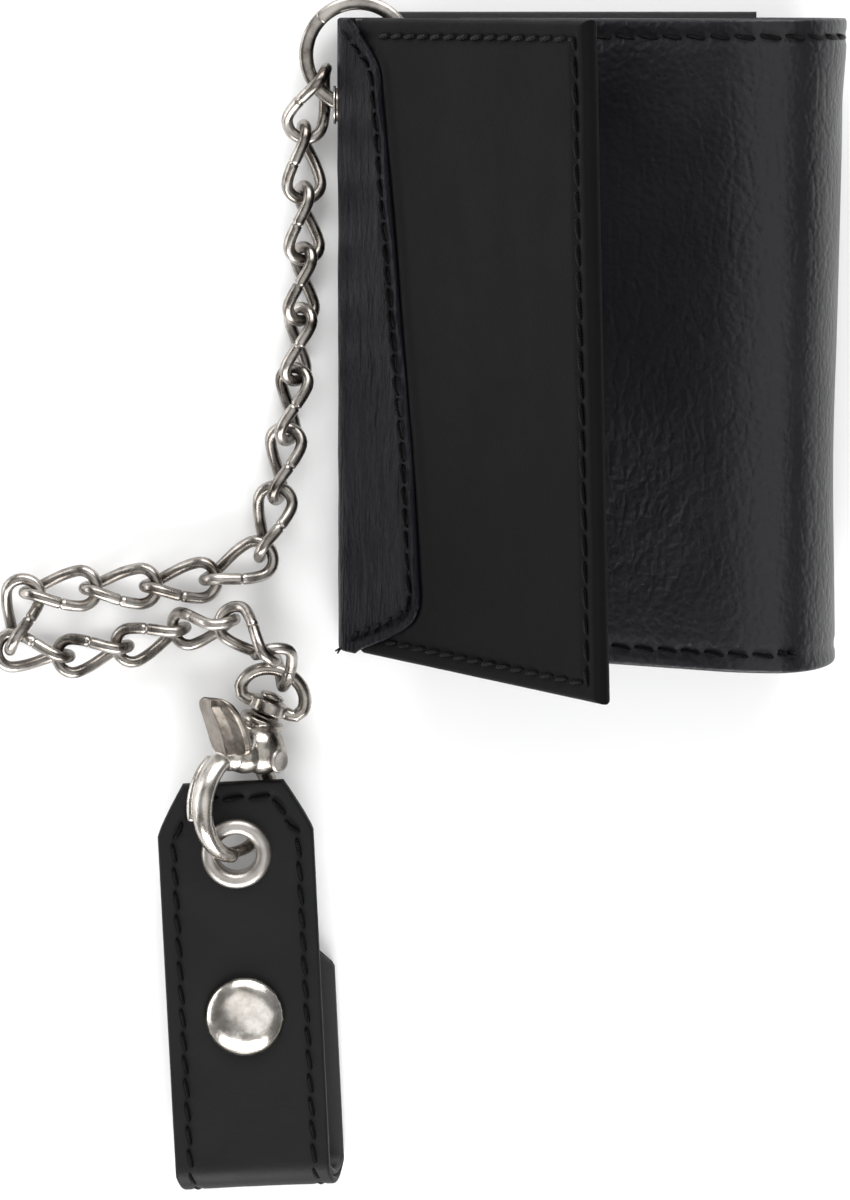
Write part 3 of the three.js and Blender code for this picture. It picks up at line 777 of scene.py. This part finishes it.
def set_the_stage():
    scene = bpy.context.scene
    set_the_camera(scene)
    lay_the_floor()
    light_the_scene(scene)


# ---------------------------------------------------------------- the wallet's leather
def flap_plane(depth, v_way=Y):
    """The plane at a depth below the flap's outermost face: u from the fold's axis, v along Y,
    or along -Y for a face that looks at the wallet."""
    return Twisted(Plane(FLAP_AXIS + OFF_FLAP * (FOLD_R - depth), ALONG_FLAP, v_way))


def spine_profile():
    """From the back's left edge up the spine, round the fold and on along the flap."""
    corner = arc(BACK_LEFT, SPINE_CORNER, SPINE_CORNER, SPINE_CORNER, 270, 180, 12)[1:]
    bend = arc(FOLD_X, FOLD_Z, FOLD_R, FOLD_R, 180, 90 + math.degrees(FLAP_ANGLE), 30)
    end = np.array(bend[-1]) + SPINE_FLAT * ALONG_FLAP[[0, 2]]
    return [(BACK_LEFT, 0), *corner, *bend, tuple(end)]


SPINE_LINE = Profile(spine_profile(), 1)
SPINE = Twisted(SPINE_LINE)
TAB_ROOT = SPINE_LINE.length - SPINE_FLAT  # arc length where the flap's flat part begins
SPINE_BLEND = ("wallet_body", "flap", (-0.0425, 0, 0.0068), (-0.0378, 0, 0.0174))

# The tab's slanted, chamfered outline on the flap: its reach at each height.
TAB_Y = [-54, -53.2, -51.2, -47.2, -44.5, -42, -16.6, 3, 24, 45.2, 47.5, 53, 54]
TAB_U = [1.2, 3.0, 10, 19.8, 21.9, 22.4, 20.2, 17.2, 14.3, 11, 9.2, 1.6, 0.8]


def tab_reach(v):
    smooth = np.linspace(-TOP, TOP, 217)
    raw = np.interp(smooth, TAB_Y, TAB_U)
    soft = np.convolve(np.pad(raw, 2, "edge"), np.ones(5) / 5, "valid")
    return np.interp(v, smooth, soft)


def make_spine_and_tab():
    v_line = graded(-TOP, TOP, 0.8, 0.7)
    rim = 0.965 + 0.035 * np.sin(np.linspace(0, math.pi / 2, 7))[1:]
    share, v = grid(np.concatenate([np.linspace(0, 0.965, 60), rim]), v_line)
    end = TAB_ROOT + tab_reach(v)
    u = share * end
    slope = np.gradient(end, v_line, axis=1)
    to_edge = (end - u) / np.sqrt(1 + slope ** 2)
    distance = np.minimum(to_edge, np.minimum(TOP - v, TOP + v))

    def relief(u, v):
        wrinkles = 0.26 * rough_noise(u + 0.3 * v, v * 0.35, 5, 3.1)
        wrinkles += 0.45 * rough_noise(u, v, 20, 1.7, 2)
        wrinkles *= np.clip((u - 3) / 4, 0, 1)
        seam = groove(to_edge, 2.4, 0.7, 0.4)
        on_flap = np.clip((u - TAB_ROOT) / 4, 0, 1)
        # The skived edge lies a little lower, so the middle of the tab looks padded.
        return wrinkles * (0.4 + 0.6 * on_flap) + (seam - 0.1) * on_flap

    piece = sheet("spine_and_tab", SPINE, u, v, distance, 1.15, TAB_GRAIN, relief, 0.6)
    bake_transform(piece)
    stand_for(piece, "grain_leather", "left_fold", "flap_tab")

    edge = [(TAB_ROOT + tab_reach(y), y) for y in np.linspace(-TOP, TOP, 160)]
    path = [(u, y) for u, y in inset_line(edge, 2.6) if u > TAB_ROOT - 1.5 and abs(y) < TOP - 1.4]
    stitches("tab_stitches", sunk(SPINE, 0.2), path, blended=SPINE_BLEND, pitch=3.7)


def inset_line(points, inset):
    """The same line, moved to its left by an inset."""
    points = np.array(points)
    way = np.gradient(points, axis=0)
    way /= np.linalg.norm(way, axis=1)[:, None]
    return points + np.stack([-way[:, 1], way[:, 0]], -1) * inset


def make_frayed_thread():
    """The cut ends of the tab's thread, at the fold's lower corner."""
    corners, normals = SPINE(np.array([TAB_ROOT - 2.5]), np.array([-TOP + 0.6]))
    corner, normal = corners[0], normals[0]
    strands = [(-0.6, 0.9, 0.4), (0.1, 1.2, 0.7), (-0.3, 1.1, 0.1)]
    for i, (lean, length, lift) in enumerate(strands):
        way = np.array([lean, -0.8, 0]) + normal * lift
        bend = np.cross(way, normal) * 0.35 * (-1) ** i
        start = corner - normal * 0.2
        points = [start + way * length * t + bend * t * t for t in np.linspace(0, 1, 8)]
        strand = tube(f"frayed_thread_{i + 1}", points, Z + 0.3 * X, (0.16, 0.16), THREAD, 8)
        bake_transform(strand)


def make_back():
    u, v = grid(graded(BACK_LEFT, BACK_RIGHT, 1.5, 0.7), graded(-TOP, TOP, 1.5, 0.7))
    edges = box_distance(u, v, left=False, right=False)
    piece = sheet("back_leather", Plane((0, 0, 0), X, -Y), u, v, edges, LEATHER, GRAIN)
    place(piece, "wallet_body", "grain_leather", "back_panel")


def make_flap():
    depth, thickness = FLAP_LEATHER
    face = flap_plane(depth)
    u, v = grid(graded(FLAP_ROOT, FLAP_LENGTH, 0.8, 0.9), graded(-TOP, TOP, 0.8, 0.9))
    distance = box_distance(u, v, left=False)
    # Beside the eyelet the leather starts further out, so that the flap opens past the rim.
    eyelet_y = np.mean([corner[1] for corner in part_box("eyelet")]) / MM
    room = 4.0 * np.exp(-((v - eyelet_y) / 5) ** 4)
    u = u + room * (FLAP_LENGTH - u) / (FLAP_LENGTH - FLAP_ROOT)

    def relief(u, v):
        beside_tab = u - tab_reach(v)
        lip = 0.5 * np.exp(-((beside_tab - 1.3) / 0.9) ** 2) * (np.abs(v) < 49)
        seam = groove(distance, SEAM_MARGIN, 0.6, 0.45)
        return lip + seam + rough_noise(u, v, 30, 5.5) * 0.22 + rough_noise(u, v, 6, 7.5) * 0.03

    piece = sheet("flap_leather", face, u, v, distance, thickness, SUEDE, relief, 1.3)
    place(piece, "flap", "smooth_leather", "flap_outer")
    top = TOP - SEAM_MARGIN
    right = FLAP_LENGTH - SEAM_MARGIN
    path = [(9.5, top), (right, top), (right, -top), (10.5, -top)]
    stitches("flap_stitches", sunk(face, 0.22), path, "flap")


def panel_profile(depth, end, first=91, steps=12):
    """The right panel's line at a depth: round its arc, then down its slope to x = end."""
    radius = PANEL_ARC - depth
    points = arc(BACK_RIGHT, 2 * BULGE_B - PANEL_ARC, radius, radius, first, 90 + PANEL_SLOPE, steps)
    x, z = points[-1]
    return points + [(end, z - (x - end) * math.tan(math.radians(PANEL_SLOPE)))]


def make_right_panel():
    fold = arc(BACK_RIGHT, BULGE_B, BULGE_A, BULGE_B, -90, 90, 60)
    outline = Profile(fold + panel_profile(0, PANEL_END, 90, 16)[1:], -1)
    crown = outline.s[len(fold)]
    outer = Pinched(outline)
    u, v = grid(graded(0, outline.length, 0.9, 0.7), graded(-TOP, TOP, 0.9, 0.8))

    def relief(u, v):
        seam = groove(np.minimum(TOP - v, TOP + v), SEAM_MARGIN, 0.75, 0.32) * (u > crown - 26)
        creased = np.exp(-((u - crown - 24) / 13) ** 2 - ((v + 24) / 22) ** 2)
        diagonal = rough_noise(u * 0.9 + v * 0.5, v * 0.25 - u * 0.1, 4.5, 8.2, 2)
        waves = rough_noise(u, v * 0.6, 30, 2.2, 2)
        off_floor = np.clip((u - 4) / 10, 0, 1)
        return seam + 0.4 * waves * off_floor + 0.16 * diagonal * creased

    piece = sheet("right_leather", outer, u, v, box_distance(u, v, left=False), 1.25, GRAIN, relief)
    start, end = (0.043, 0, 0.019), (0.028, 0, 0.038)
    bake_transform(piece)
    stand_for(piece, "grain_leather", "right_fold", "right_outer")
    blended = ("wallet_body", "right_panel", start, end)
    seam_face = sunk(outer, 0.22)
    seam_y = TOP - SEAM_MARGIN
    for name, y, first in (("top", seam_y, -18.2), ("bottom", -seam_y, -5)):
        path = [(s, y) for s in np.linspace(crown + first, outline.length - 3, 60)]
        stitches("right_stitches_" + name, seam_face, path, blended=blended)
    # The bottom seam ends in a short back-tack.
    tack = [(crown - 5, 0.5 - seam_y), (crown - 1.2, 0.5 - seam_y)]
    stitches("right_back_tack", seam_face, tack, blended=blended, pitch=1.9)


def flat_layer(name, node, body, surface, box, mouth_seam=False,
               material=LINER, slot="lining", thickness=LINING):
    """A thin inner layer: its box is (u0, u1, v0, v1) on a surface."""
    u0, u1, v0, v1 = box
    u, v = grid(graded(u0, u1, 2.0, 0.3), graded(v0, v1, 2.0, 0.3))

    def relief(u, v):
        return rough_noise(u, v, 24, u0 + v1) * 0.06

    piece = sheet(name, surface, u, v, box_distance(u, v), thickness, material, relief, 0.3)
    place(piece, body, slot, node)
    if mouth_seam:
        mouth = [(u0 + 2, v1 - 1.8), (u1 - 2, v1 - 1.8)]
        stitches(name + "_stitches", sunk(surface, 0.1), mouth, body, pitch=3.4, radius=0.2)


def make_inner_layers():
    height = LEATHER + GAP + LINING
    flat_layer("bill_divider_leather", "bill_divider", "wallet_body", Plane(Z * height, X, Y),
               (-34, 29, -TOP + 3, TOP + 1))
    for i, mouth in enumerate((42, 30, 18)):
        height += LINING + GAP
        flat_layer(f"centre_pocket_leather_{i + 1}", f"centre_pocket_{i + 1}", "wallet_body",
                   Plane(Z * height, X, Y), (-27, 27, -TOP + 3, mouth), True)


def make_flap_layers():
    """The lining, just proud of the flap's thick turned leather, and the window in its frame."""
    depth = sum(FLAP_LEATHER) + 0.15
    flat_layer("flap_lining_leather", "flap_lining", "flap", flap_plane(depth, -Y),
               (6, FLAP_LENGTH - 1.7, -TOP + 1.7, TOP - 1.7))
    depth += LINING - 0.1
    bars = {
        "left": (10, 16, -TOP + 14, TOP - 4),
        "right": (FLAP_LENGTH - 10, FLAP_LENGTH - 4, -TOP + 14, TOP - 4),
        "top": (15, FLAP_LENGTH - 9, -TOP + 14, -TOP + 20.2),
        "low": (15, FLAP_LENGTH - 9, TOP - 10.2, TOP - 4),
    }
    for name, box in bars.items():
        flat_layer(f"id_window_frame_{name}", "id_window_frame", "flap", flap_plane(depth, -Y), box)
    window = (16.2, FLAP_LENGTH - 10.2, -TOP + 20.3, TOP - 10.3)
    flat_layer("id_window_film", "id_window", "flap", flap_plane(depth - 0.1, -Y), window,
               material=FILM, slot="clear_plastic", thickness=0.35)


def make_right_layers():
    depth = LEATHER + GAP
    layers = [("right_lining", -TOP + 0.4, TOP - 0.4, 0.3),
              ("right_pocket_1", -TOP + 3, 40, 2),
              ("right_pocket_2", -TOP + 3, 26, 2)]
    for name, low, high, inset in layers:
        line = Profile(panel_profile(depth + LINING, PANEL_END + inset), 1)
        flat_layer(name + "_leather", name, "right_panel", line, (0, line.length, low, high),
                   name != "right_lining")
        depth += LINING + GAP


# ---------------------------------------------------------------- ring, eyelet and chain
def make_split_ring():
    """Two turns of flat wire pressed together, with both ends showing."""
    turns = 2.02
    share = np.linspace(0, 1, 181)[:, None]
    angle = math.radians(128) + 2 * math.pi * turns * share
    spokes = np.cos(angle) * X + np.sin(angle) * Y
    height = 0.6 * np.tanh((share - 0.5) * 26)
    points = RING_CENTRE + RING_R * spokes + height * Z
    piece = tube("split_ring_coil", points, spokes, (1.18, 0.57), WIRE, 16)
    place(piece, "split_ring", "antique_nickel", "split_ring")


def make_eyelet():
    """A rim on each side of the spine's wall, and the barrel between them."""
    wall = FOLD_X - FOLD_R
    outer, inner = wall - GAP - 0.4, wall + LEATHER + GAP + 0.4
    r = EYELET_R
    profile = [(r, outer), (r + 0.8, outer), (r + 0.8, outer + 0.4), (r + 0.35, outer + 0.4),
               (r + 0.35, inner - 0.4), (r + 0.8, inner - 0.4), (r + 0.8, inner), (r, inner)]
    low, high = (np.array(corner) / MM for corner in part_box("eyelet"))
    middle = (low + high) / 2
    matrix = Matrix.Translation(Vector((0, middle[1], middle[2]))) @ Matrix.Rotation(math.pi / 2, 4, "Y")
    piece = lathe("eyelet_rim", rounded(profile, 0.18), METAL, matrix, 40, True)
    place(piece, "wallet_body", "antique_nickel", "eyelet")


def direction(heading, climb):
    """The unit vector of a heading about Z from +X and a climb from the floor, in degrees."""
    heading, climb = math.radians(heading), math.radians(climb)
    level = X * math.cos(heading) + Y * math.sin(heading)
    return level * math.cos(climb) + Z * math.sin(climb)


def link_outline():
    """A link's line in its own plane as (along, across), and where its two wire ends meet."""
    far = LINK_LENGTH - LINK_R
    angles = np.radians(np.linspace(-90, 90, 17))
    bend = [(LINK_R * math.cos(t), LINK_R * math.sin(t)) for t in angles]
    leg = np.linspace(far, LINK_R, 25)[1:-1]
    line = [(far + x, y) for x, y in bend]
    line += [(x, LINK_R) for x in leg]
    line += [(LINK_R - x, -y) for x, y in bend]
    line += [(x, -LINK_R) for x in leg[::-1][::2]]
    return line, len(bend) + len(leg) // 2


def make_link(number, start, heading, climb, roll):
    """A curb link: a long loop of round wire that turns a quarter from one end to the other."""
    along = direction(heading, climb)
    across = direction(heading + 90, 0)
    upward = np.cross(along, across)
    line, joint = link_outline()
    points = []
    sides = []
    for u, v in line:
        share = min(max(u / LINK_LENGTH, 0), 1)
        turn = math.radians(roll) + math.pi / 2 * smooth_step(share)
        pinch = 1 - 0.06 * math.sin(math.pi * share) ** 2
        spoke = across * math.cos(turn) + upward * math.sin(turn)
        face = upward * math.cos(turn) - across * math.sin(turn)
        points.append(start + along * u + spoke * v * pinch)
        middle = start + along * min(max(u, LINK_R), LINK_LENGTH - LINK_R)
        sides.append(points[-1] - middle + 0.001 * face)
    radii = np.full((len(line), 2), WIRE_R)
    radii[joint] *= 0.72
    piece = tube(f"link_{number:02d}", points, sides, radii, WIRE, 16, True)
    node = f"chain_link_{number:02d}"
    place(piece, node, "antique_nickel", node)


def make_chain():
    hook = CHAIN_START
    last_heading, last_climb, _ = LINKS[0]
    for i, (heading, climb, roll) in enumerate(LINKS):
        reach = RING_REACH if i == 0 else HOOK
        towards = direction(heading, last_climb) if roll < 45 else direction(last_heading, climb)
        start = hook - towards * reach
        make_link(i + 1, start, heading, climb, roll)
        hook = start + direction(heading, climb) * LINK_LENGTH
        last_heading, last_climb = heading, climb


# ---------------------------------------------------------------- swivel eye and clasp
low, high = (np.array(corner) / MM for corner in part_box("grommet"))
GROMMET = np.array([(low[0] + high[0]) / 2, (low[1] + high[1]) / 2, FOB_LOW + 2 * FOB_BEND_R - 1.35])
NECK = np.array([GROMMET[0] + 3.6, GROMMET[1] + 20.5, SWIVEL_Z])
SWIVEL = np.array([math.cos(SWIVEL_HEADING), math.sin(SWIVEL_HEADING), 0])
ACROSS = np.array([SWIVEL[1], -SWIVEL[0], 0])
SWIVEL_FRAME = Matrix((
    (ACROSS[0], 0, SWIVEL[0], NECK[0]),
    (ACROSS[1], 0, SWIVEL[1], NECK[1]),
    (0, -1, 0, NECK[2]),
    (0, 0, 0, 1)))

CLAW_B = np.array([-math.cos(CLAW_TILT), 0, math.sin(CLAW_TILT)])
CLAW_N = np.cross(Y, CLAW_B)


def claw(a, b, n=0.0):
    """A point in the clasp's own plane: a towards the swivel, b to the gate's side."""
    return GROMMET + Y * a + CLAW_B * b + CLAW_N * n


CLAW_MIDDLE = claw(CLAW_R, 0)


def make_swivel_eye():
    """A loop of thick wire, whose ends run into the collar that turns on the clasp's post."""
    half, arch_r = 5.8, 4.8
    low = COLLAR[0] + EYE_WIRE_R
    foot = [(2.6, low), (3.8, low - 0.1), (5.0, low + 0.1), (half, low + 1.5)]
    arch = [(half * math.cos(t), EYE_TOP - arch_r + arch_r * math.sin(t))
            for t in np.linspace(math.pi, 0, 25)]
    line = [(-x, y) for x, y in foot] + arch + foot[::-1]
    points = [NECK + ACROSS * x + SWIVEL * y for x, y in line]
    loop = tube("eye_loop", points, Z, (EYE_WIRE_R, EYE_WIRE_R * 0.96), METAL, 16)
    bore, rim = 1.42, 3.2
    profile = [(bore, COLLAR[0]), (rim, COLLAR[0]), (rim, COLLAR[1]), (bore, COLLAR[1])]
    collar = lathe("eye_collar", rounded(profile, 0.4), METAL, SWIVEL_FRAME, 40, True)
    piece = merged_casting("swivel_eye_casting", [loop, collar], METAL, 0.16, 3)
    place(piece, "swivel_eye", "antique_nickel", "swivel_eye")


def claw_line(start, end, steps, radius=CLAW_R):
    """Points of a circle round the hook's middle, from one angle to another."""
    angles = np.radians(np.linspace(start, end, steps))
    return np.array([claw(CLAW_R + radius * math.cos(t), radius * math.sin(t)) for t in angles])


def claw_ball(name, a, b, n, sizes):
    """A ball in the clasp's plane, at an offset from the gate's pin."""
    return ellipsoid(name, claw(PIN[0] + a, PIN[1] + b, n), (Y, CLAW_B, CLAW_N), sizes)


def clasp_matrix():
    """Local +Z along the gate's pin, at the pin."""
    centre = claw(*PIN)
    return Matrix((
        (Y[0], CLAW_B[0], CLAW_N[0], centre[0]), (Y[1], CLAW_B[1], CLAW_N[1], centre[1]),
        (Y[2], CLAW_B[2], CLAW_N[2], centre[2]), (0, 0, 0, 1)))


def make_clasp():
    """The fixed hook, the body that it grows from, and the flanged post in the swivel eye."""
    steps = 44
    share = np.linspace(0, 1, steps)[:, None]
    # The hook's end thins and moves aside, so that the gate can close beside it.
    aside = 1.3 * np.clip((np.arange(steps)[:, None] - 30) / 13, 0, None) ** 1.5
    points = claw_line(-14, -206, steps) - CLAW_N * aside
    radii = np.hstack([1.55 - 0.75 * share ** 2, 1.75 - 0.9 * share ** 1.5])
    hook = tube("hook", points, points - CLAW_MIDDLE, radii, METAL)
    body = claw_ball("body", 0.6, -1.2, 3.6, (4.4, 4.0, 3.9))
    lobe = claw_ball("lobe", -0.4, -1.8, 4.3, (3.0, 3.6, 3.3))
    brow = claw_ball("brow", 0.2, 1.6, 1.8, (3.6, 3.8, 4.0))
    below, above = COLLAR[0] - GAP, COLLAR[1] + GAP
    flanges = [(0, -3.4), (3.4, -3.2), (3.4, -1.9), (4.5, -1.6), (4.6, -0.7), (3.4, -0.45), (3.4, -0.2),
               (4.6, 0.1), (4.4, 1.0), (3.2, 1.25), (3.2, 1.5), (4.1, 1.8), (3.9, 2.8), (2.8, 3.05)]
    shank = [(2.6, below), (1.3, below), (1.3, above), (2.2, above), (2.2, COLLAR[1] + 1),
             (0, COLLAR[1] + 1.4)]
    post = lathe("post", rounded(flanges + shank, 0.2, 3), METAL, SWIVEL_FRAME, 40)
    piece = merged_casting("clasp_casting", [hook, body, lobe, brow, post], METAL, 0.16, 14)
    place(piece, "clasp", "antique_nickel", "clasp_body")


def make_gate():
    """The gate's arm and its hub round the pin, and the thumb lever that opens it."""
    root = [claw(PIN[0] - 0.4, PIN[1] + 2.8, 0.2), claw(17.3, 3.2, 0.2)]
    points = np.vstack([root, claw_line(26, 169, 38, CLAW_R + 0.45) + CLAW_N * 0.35])
    share = np.linspace(0, 1, len(points))[:, None]
    radii = np.hstack([1.3 + 0.3 * np.sin(math.pi * share ** 0.9), 2.15 - 0.75 * share ** 1.6])
    arm = tube("arm", points, points - CLAW_MIDDLE, radii, METAL)
    # A narrow rib runs beside the arm as far as the hook's end.
    beside = claw_line(30, 100, 18, CLAW_R + 0.25) - CLAW_N * 2.0
    rib = tube("rib", beside, beside - CLAW_MIDDLE, (1.25, 0.95), METAL, 14)
    hub = claw_ball("hub", 0.3, 4.0, 0.8, (3.1, 2.4, 3.6))
    knuckle = claw_ball("knuckle", 3.0, 4.6, 5.0, (2.1, 1.9, 1.9))
    # The arm takes the lighter copy of the nickel, which is painted light on this one cast gate.
    gate = merged_casting("gate_casting", [arm, rib, hub, knuckle], LIT_NICKEL, 0.14, 6)
    place(gate, "clasp_gate", "antique_nickel", "clasp_gate")
    # The lever takes the darker copy of the nickel, which is painted shade.
    lever = merged_casting("lever_casting", [lever_blade()], SHADED_NICKEL, 0.14, 5)
    place(lever, "clasp_gate", "antique_nickel", "clasp_gate")


def make_gate_pin():
    head = 7.0
    profile = [(0, -4.3), (1.5, -4.2), (1.9, -3.8), (1.9, -3.5), (0.8, -3.5), (0.8, head), (2.1, head),
               (2.1, head + 0.5), (1.7, head + 0.85), (0.9, head + 0.6), (0, head + 0.5)]
    matrix = clasp_matrix() @ Matrix.Translation((-1.0, -1.4, 0))
    pin = lathe("gate_rivet", rounded(profile, 0.15, 3), SATIN, matrix, 40)
    place(pin, "clasp", "antique_nickel", "gate_pin")
    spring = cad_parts["gate_spring"]
    spring.data.materials.clear()
    spring.data.materials.append(METAL)


def lever_blade():
    """The thumb lever: a plate with rounded corners and a ridge down its middle."""
    root = np.array([18.3, 4.0, 2.7])
    tip = np.array([28.2, 8.4, 2.2])
    half_widths = [(0.0, 3.8), (0.06, 4.3), (0.2, 4.6), (0.5, 4.6), (0.75, 4.3), (0.88, 3.8),
                   (0.95, 3.1), (1.0, 2.0)]
    section = [(-1, -0.5), (-1.03, 0.05), (-0.9, 0.42), (-0.45, 0.7), (0, 1.2), (0.45, 0.7),
               (0.9, 0.42), (1.03, 0.05), (1, -0.5), (0, -0.7)]
    outward = np.array([-0.36, 0.93])
    points = []
    steps = 30
    shares, widths = zip(*half_widths)
    for t in np.linspace(0, 1, steps):
        a, b, n = root + (tip - root) * t
        b -= 0.6 * math.sin(math.pi * t)
        width = np.interp(t, shares, widths)
        depth = (1.35 - 0.35 * t) * (1 if t < 0.9 else 1 - 0.5 * (t - 0.9) / 0.1)
        for side, height in section:
            lift = outward * height * depth
            points.append(claw(a + lift[0], b + lift[1], n + side * width))
    faces = ring_faces(steps, len(section)) + end_caps(steps, len(section))
    return mesh_object("lever", points, faces, METAL)


# ---------------------------------------------------------------- belt fob
FOB_FRAME = (Matrix.Translation((GROMMET[0], GROMMET[1], 0))
             @ Matrix.Rotation(FOB_TILT, 4, "Z"))


class Strap:
    """The fob's strap by arc length u from its front top edge, over the bend, to the back's end."""

    def __init__(self, depth):
        self.depth = depth
        self.face = FOB_LOW + 2 * FOB_BEND_R
        self.bend_y = FOB_BOTTOM + FOB_BEND_R
        self.front = FOB_TOP - self.bend_y
        self.bend = math.pi * FOB_BEND_R
        self.back = FOB_BACK_TOP - self.bend_y
        self.length = self.front + self.bend + self.back
        self.matrix = np.array(FOB_FRAME)

    def __call__(self, u, v):
        r = FOB_BEND_R
        angle = np.clip((u - self.front) / r, 0, math.pi)
        y = np.where(u < self.front, FOB_TOP - u, self.bend_y - r * np.sin(angle))
        y = np.where(u > self.front + self.bend, self.bend_y + (u - self.front - self.bend), y)
        z = FOB_LOW + r + r * np.cos(angle)
        shift = FOB_BACK_SHIFT * np.clip((u - self.front - 2) / (self.bend - 4), 0, 1)
        normal = np.stack([np.zeros_like(u), -np.sin(angle), np.cos(angle)], -1)
        point = np.stack([v + shift, y, z], -1) - normal * self.depth
        point = point @ self.matrix[:3, :3].T + self.matrix[:3, 3]
        return point, normal @ self.matrix[:3, :3].T

    def half_width(self, u):
        """Half the strap's width, with chamfered corners at both ends."""
        share = np.clip(1 - u / (FOB_TOP - FOB_SHOULDER), 0, 1)
        top = FOB_HALF_W - 4.8 * share ** 1.15
        left = self.length - u
        return np.minimum(top, FOB_HALF_W - np.clip(4 - left, 0, 4))


def make_strap(name, depth, thickness, material, slot, node_names, relief_amount, seams):
    strap = Strap(depth)
    u_line = graded(0, strap.length, 0.75, 0.6)
    u, share = grid(u_line, graded(-1, 1, 0.055, 0.06))
    half = strap.half_width(u)
    v = share * half
    slope = np.gradient(half[:, 0], u_line)[:, None]
    distance = np.minimum.reduce([(half - np.abs(v)) / np.sqrt(1 + slope ** 2), u, strap.length - u])

    def relief(u, v):
        seam = groove(distance, 2.7, 0.6, 0.3) if seams else 0
        snap_at = np.hypot(u - (FOB_TOP - SNAP_Y), v)
        dent = -0.25 * np.exp(-(np.clip(snap_at - 5, 0, None) / 2.5) ** 2)
        return (seam + dent + rough_noise(u, v, 14, 4.4) * 0.12) * relief_amount

    piece = sheet(name, strap, u, v, distance, thickness, material, relief, 0.6)
    cut_round_hole(piece, (GROMMET[0], GROMMET[1], 8.6), GROMMET_HOLE_R + 0.75, 5)
    start = FOB_FRAME @ Vector((0, strap.bend_y, 7.2))
    end = FOB_FRAME @ Vector((0, strap.bend_y, 2.9))
    ends = ([c * MM for c in start], [c * MM for c in end])
    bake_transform(piece)
    stand_for(piece, slot, *node_names)
    return strap, ends


def make_fob():
    strap, bend = make_strap("fob_strap", 0, 1.3, SMOOTH, "smooth_leather",
                             ["fob_front", "fob_bend", "fob_back"], 1.0, True)
    make_strap("fob_strap_lining", 1.42, 1.25, LINER, "lining", ["fob_lining"], 0.4, False)
    sew_fob(strap, ("fob_front", "fob_back", *bend))
    make_grommet(strap.face)
    make_snap(strap.face)


def sew_fob(strap, blended):
    """A seam down each side of the strap, and one across each end."""
    inset = 2.7
    far = strap.length - inset

    def seam_face(u, v):
        # The thread lies deeper in the back, so that it stays off the floor.
        point, normal = strap(u, v)
        return point - normal * np.where(u > strap.front, 0.55, 0.2)[..., None], normal

    def seam_at(u):
        return strap.half_width(u) - inset - (0.9 if u < 9 else 0)

    for sign, name in ((-1, "left"), (1, "right")):
        path = [(u, sign * seam_at(u)) for u in np.linspace(inset, far, 90)]
        stitches(f"fob_stitches_{name}", seam_face, path, blended=blended)
    for name, u, body in (("top", inset, "fob_front"), ("end", far, "fob_back")):
        path = [(u, -seam_at(u)), (u, seam_at(u))]
        stitches(f"fob_stitches_{name}", seam_face, path, body)


def make_grommet(top):
    low = top - STRAP_DEPTH - GAP
    r = GROMMET_HOLE_R
    lower = [(r, low - 0.4), (r + 0.5, low - 0.75), (GROMMET_R - 0.6, low - 0.6), (GROMMET_R, low),
             (r + 0.5, low), (r + 0.5, top + 0.05)]
    half = (GROMMET_R - 0.2 - r) / 2
    bead = [(r + half + half * math.cos(t), top + 0.05 + 1.15 * math.sin(t))
            for t in np.linspace(0, math.pi, 17)]
    # The bead takes the place of the last rounded corner's points.
    profile = rounded(lower, 0.3)[:-6] + bead
    rim = lathe("grommet_rim", profile, SATIN, FOB_FRAME, 72, True)
    place(rim, "fob_front", "antique_nickel", "grommet")


def make_snap(top):
    """The domed cap in front, its socket and rivet behind it, and the stud on the back."""
    at_snap = FOB_FRAME @ Matrix.Translation((0, SNAP_Y, 0))
    cap = top + 0.1
    dome = [(0, cap + 2.45), (2.2, cap + 2.36), (4.0, cap + 2.05), (5.5, cap + 1.5), (6.4, cap + 0.9),
            (SNAP_R - 0.05, cap + 0.35), (SNAP_R - 0.15, cap), (SNAP_R - 0.8, cap + 0.02), (0, cap + 0.02)]
    under = top - STRAP_DEPTH - GAP
    socket = [(1.6, under), (5, under), (5, under - 0.7), (4.1, under - 1.6), (2.6, under - 1.6),
              (2.4, under - 0.5), (1.6, under - 0.5)]
    rivet = [(0, under - 1.2), (1.5, under - 1.1), (1.5, cap), (0, cap)]
    back = FOB_LOW + STRAP_DEPTH
    stud = [(0, 0.12), (3.4, 0.12), (3.5, 0.3), (1.2, 0.45), (1.2, back + 0.05), (3.2, back + 0.05),
            (3.2, back + 0.5), (2.3, back + 0.7), (2.2, back + 1.0), (0, back + 1.15)]
    place(lathe("snap_cap_dome", dome, BRIGHT, at_snap, 72), "fob_front", "polished_nickel", "snap_cap")
    ring = lathe("snap_socket_ring", rounded(socket, 0.2), METAL, at_snap, 48, True)
    place(ring, "fob_front", "antique_nickel", "snap_socket")
    shank = lathe("snap_rivet_shank", rivet, METAL, at_snap, 32)
    place(shank, "fob_front", "antique_nickel", "snap_rivet")
    post = lathe("snap_stud_post", rounded(stud, 0.12, 3), METAL, at_snap, 40)
    place(post, "fob_back", "antique_nickel", "snap_stud")


set_the_stage()
make_back()
make_spine_and_tab()
make_frayed_thread()
make_flap()
make_right_panel()
make_inner_layers()
make_flap_layers()
make_right_layers()
make_split_ring()
make_eyelet()
make_chain()
make_swivel_eye()
make_clasp()
make_gate()
make_gate_pin()
make_fob()
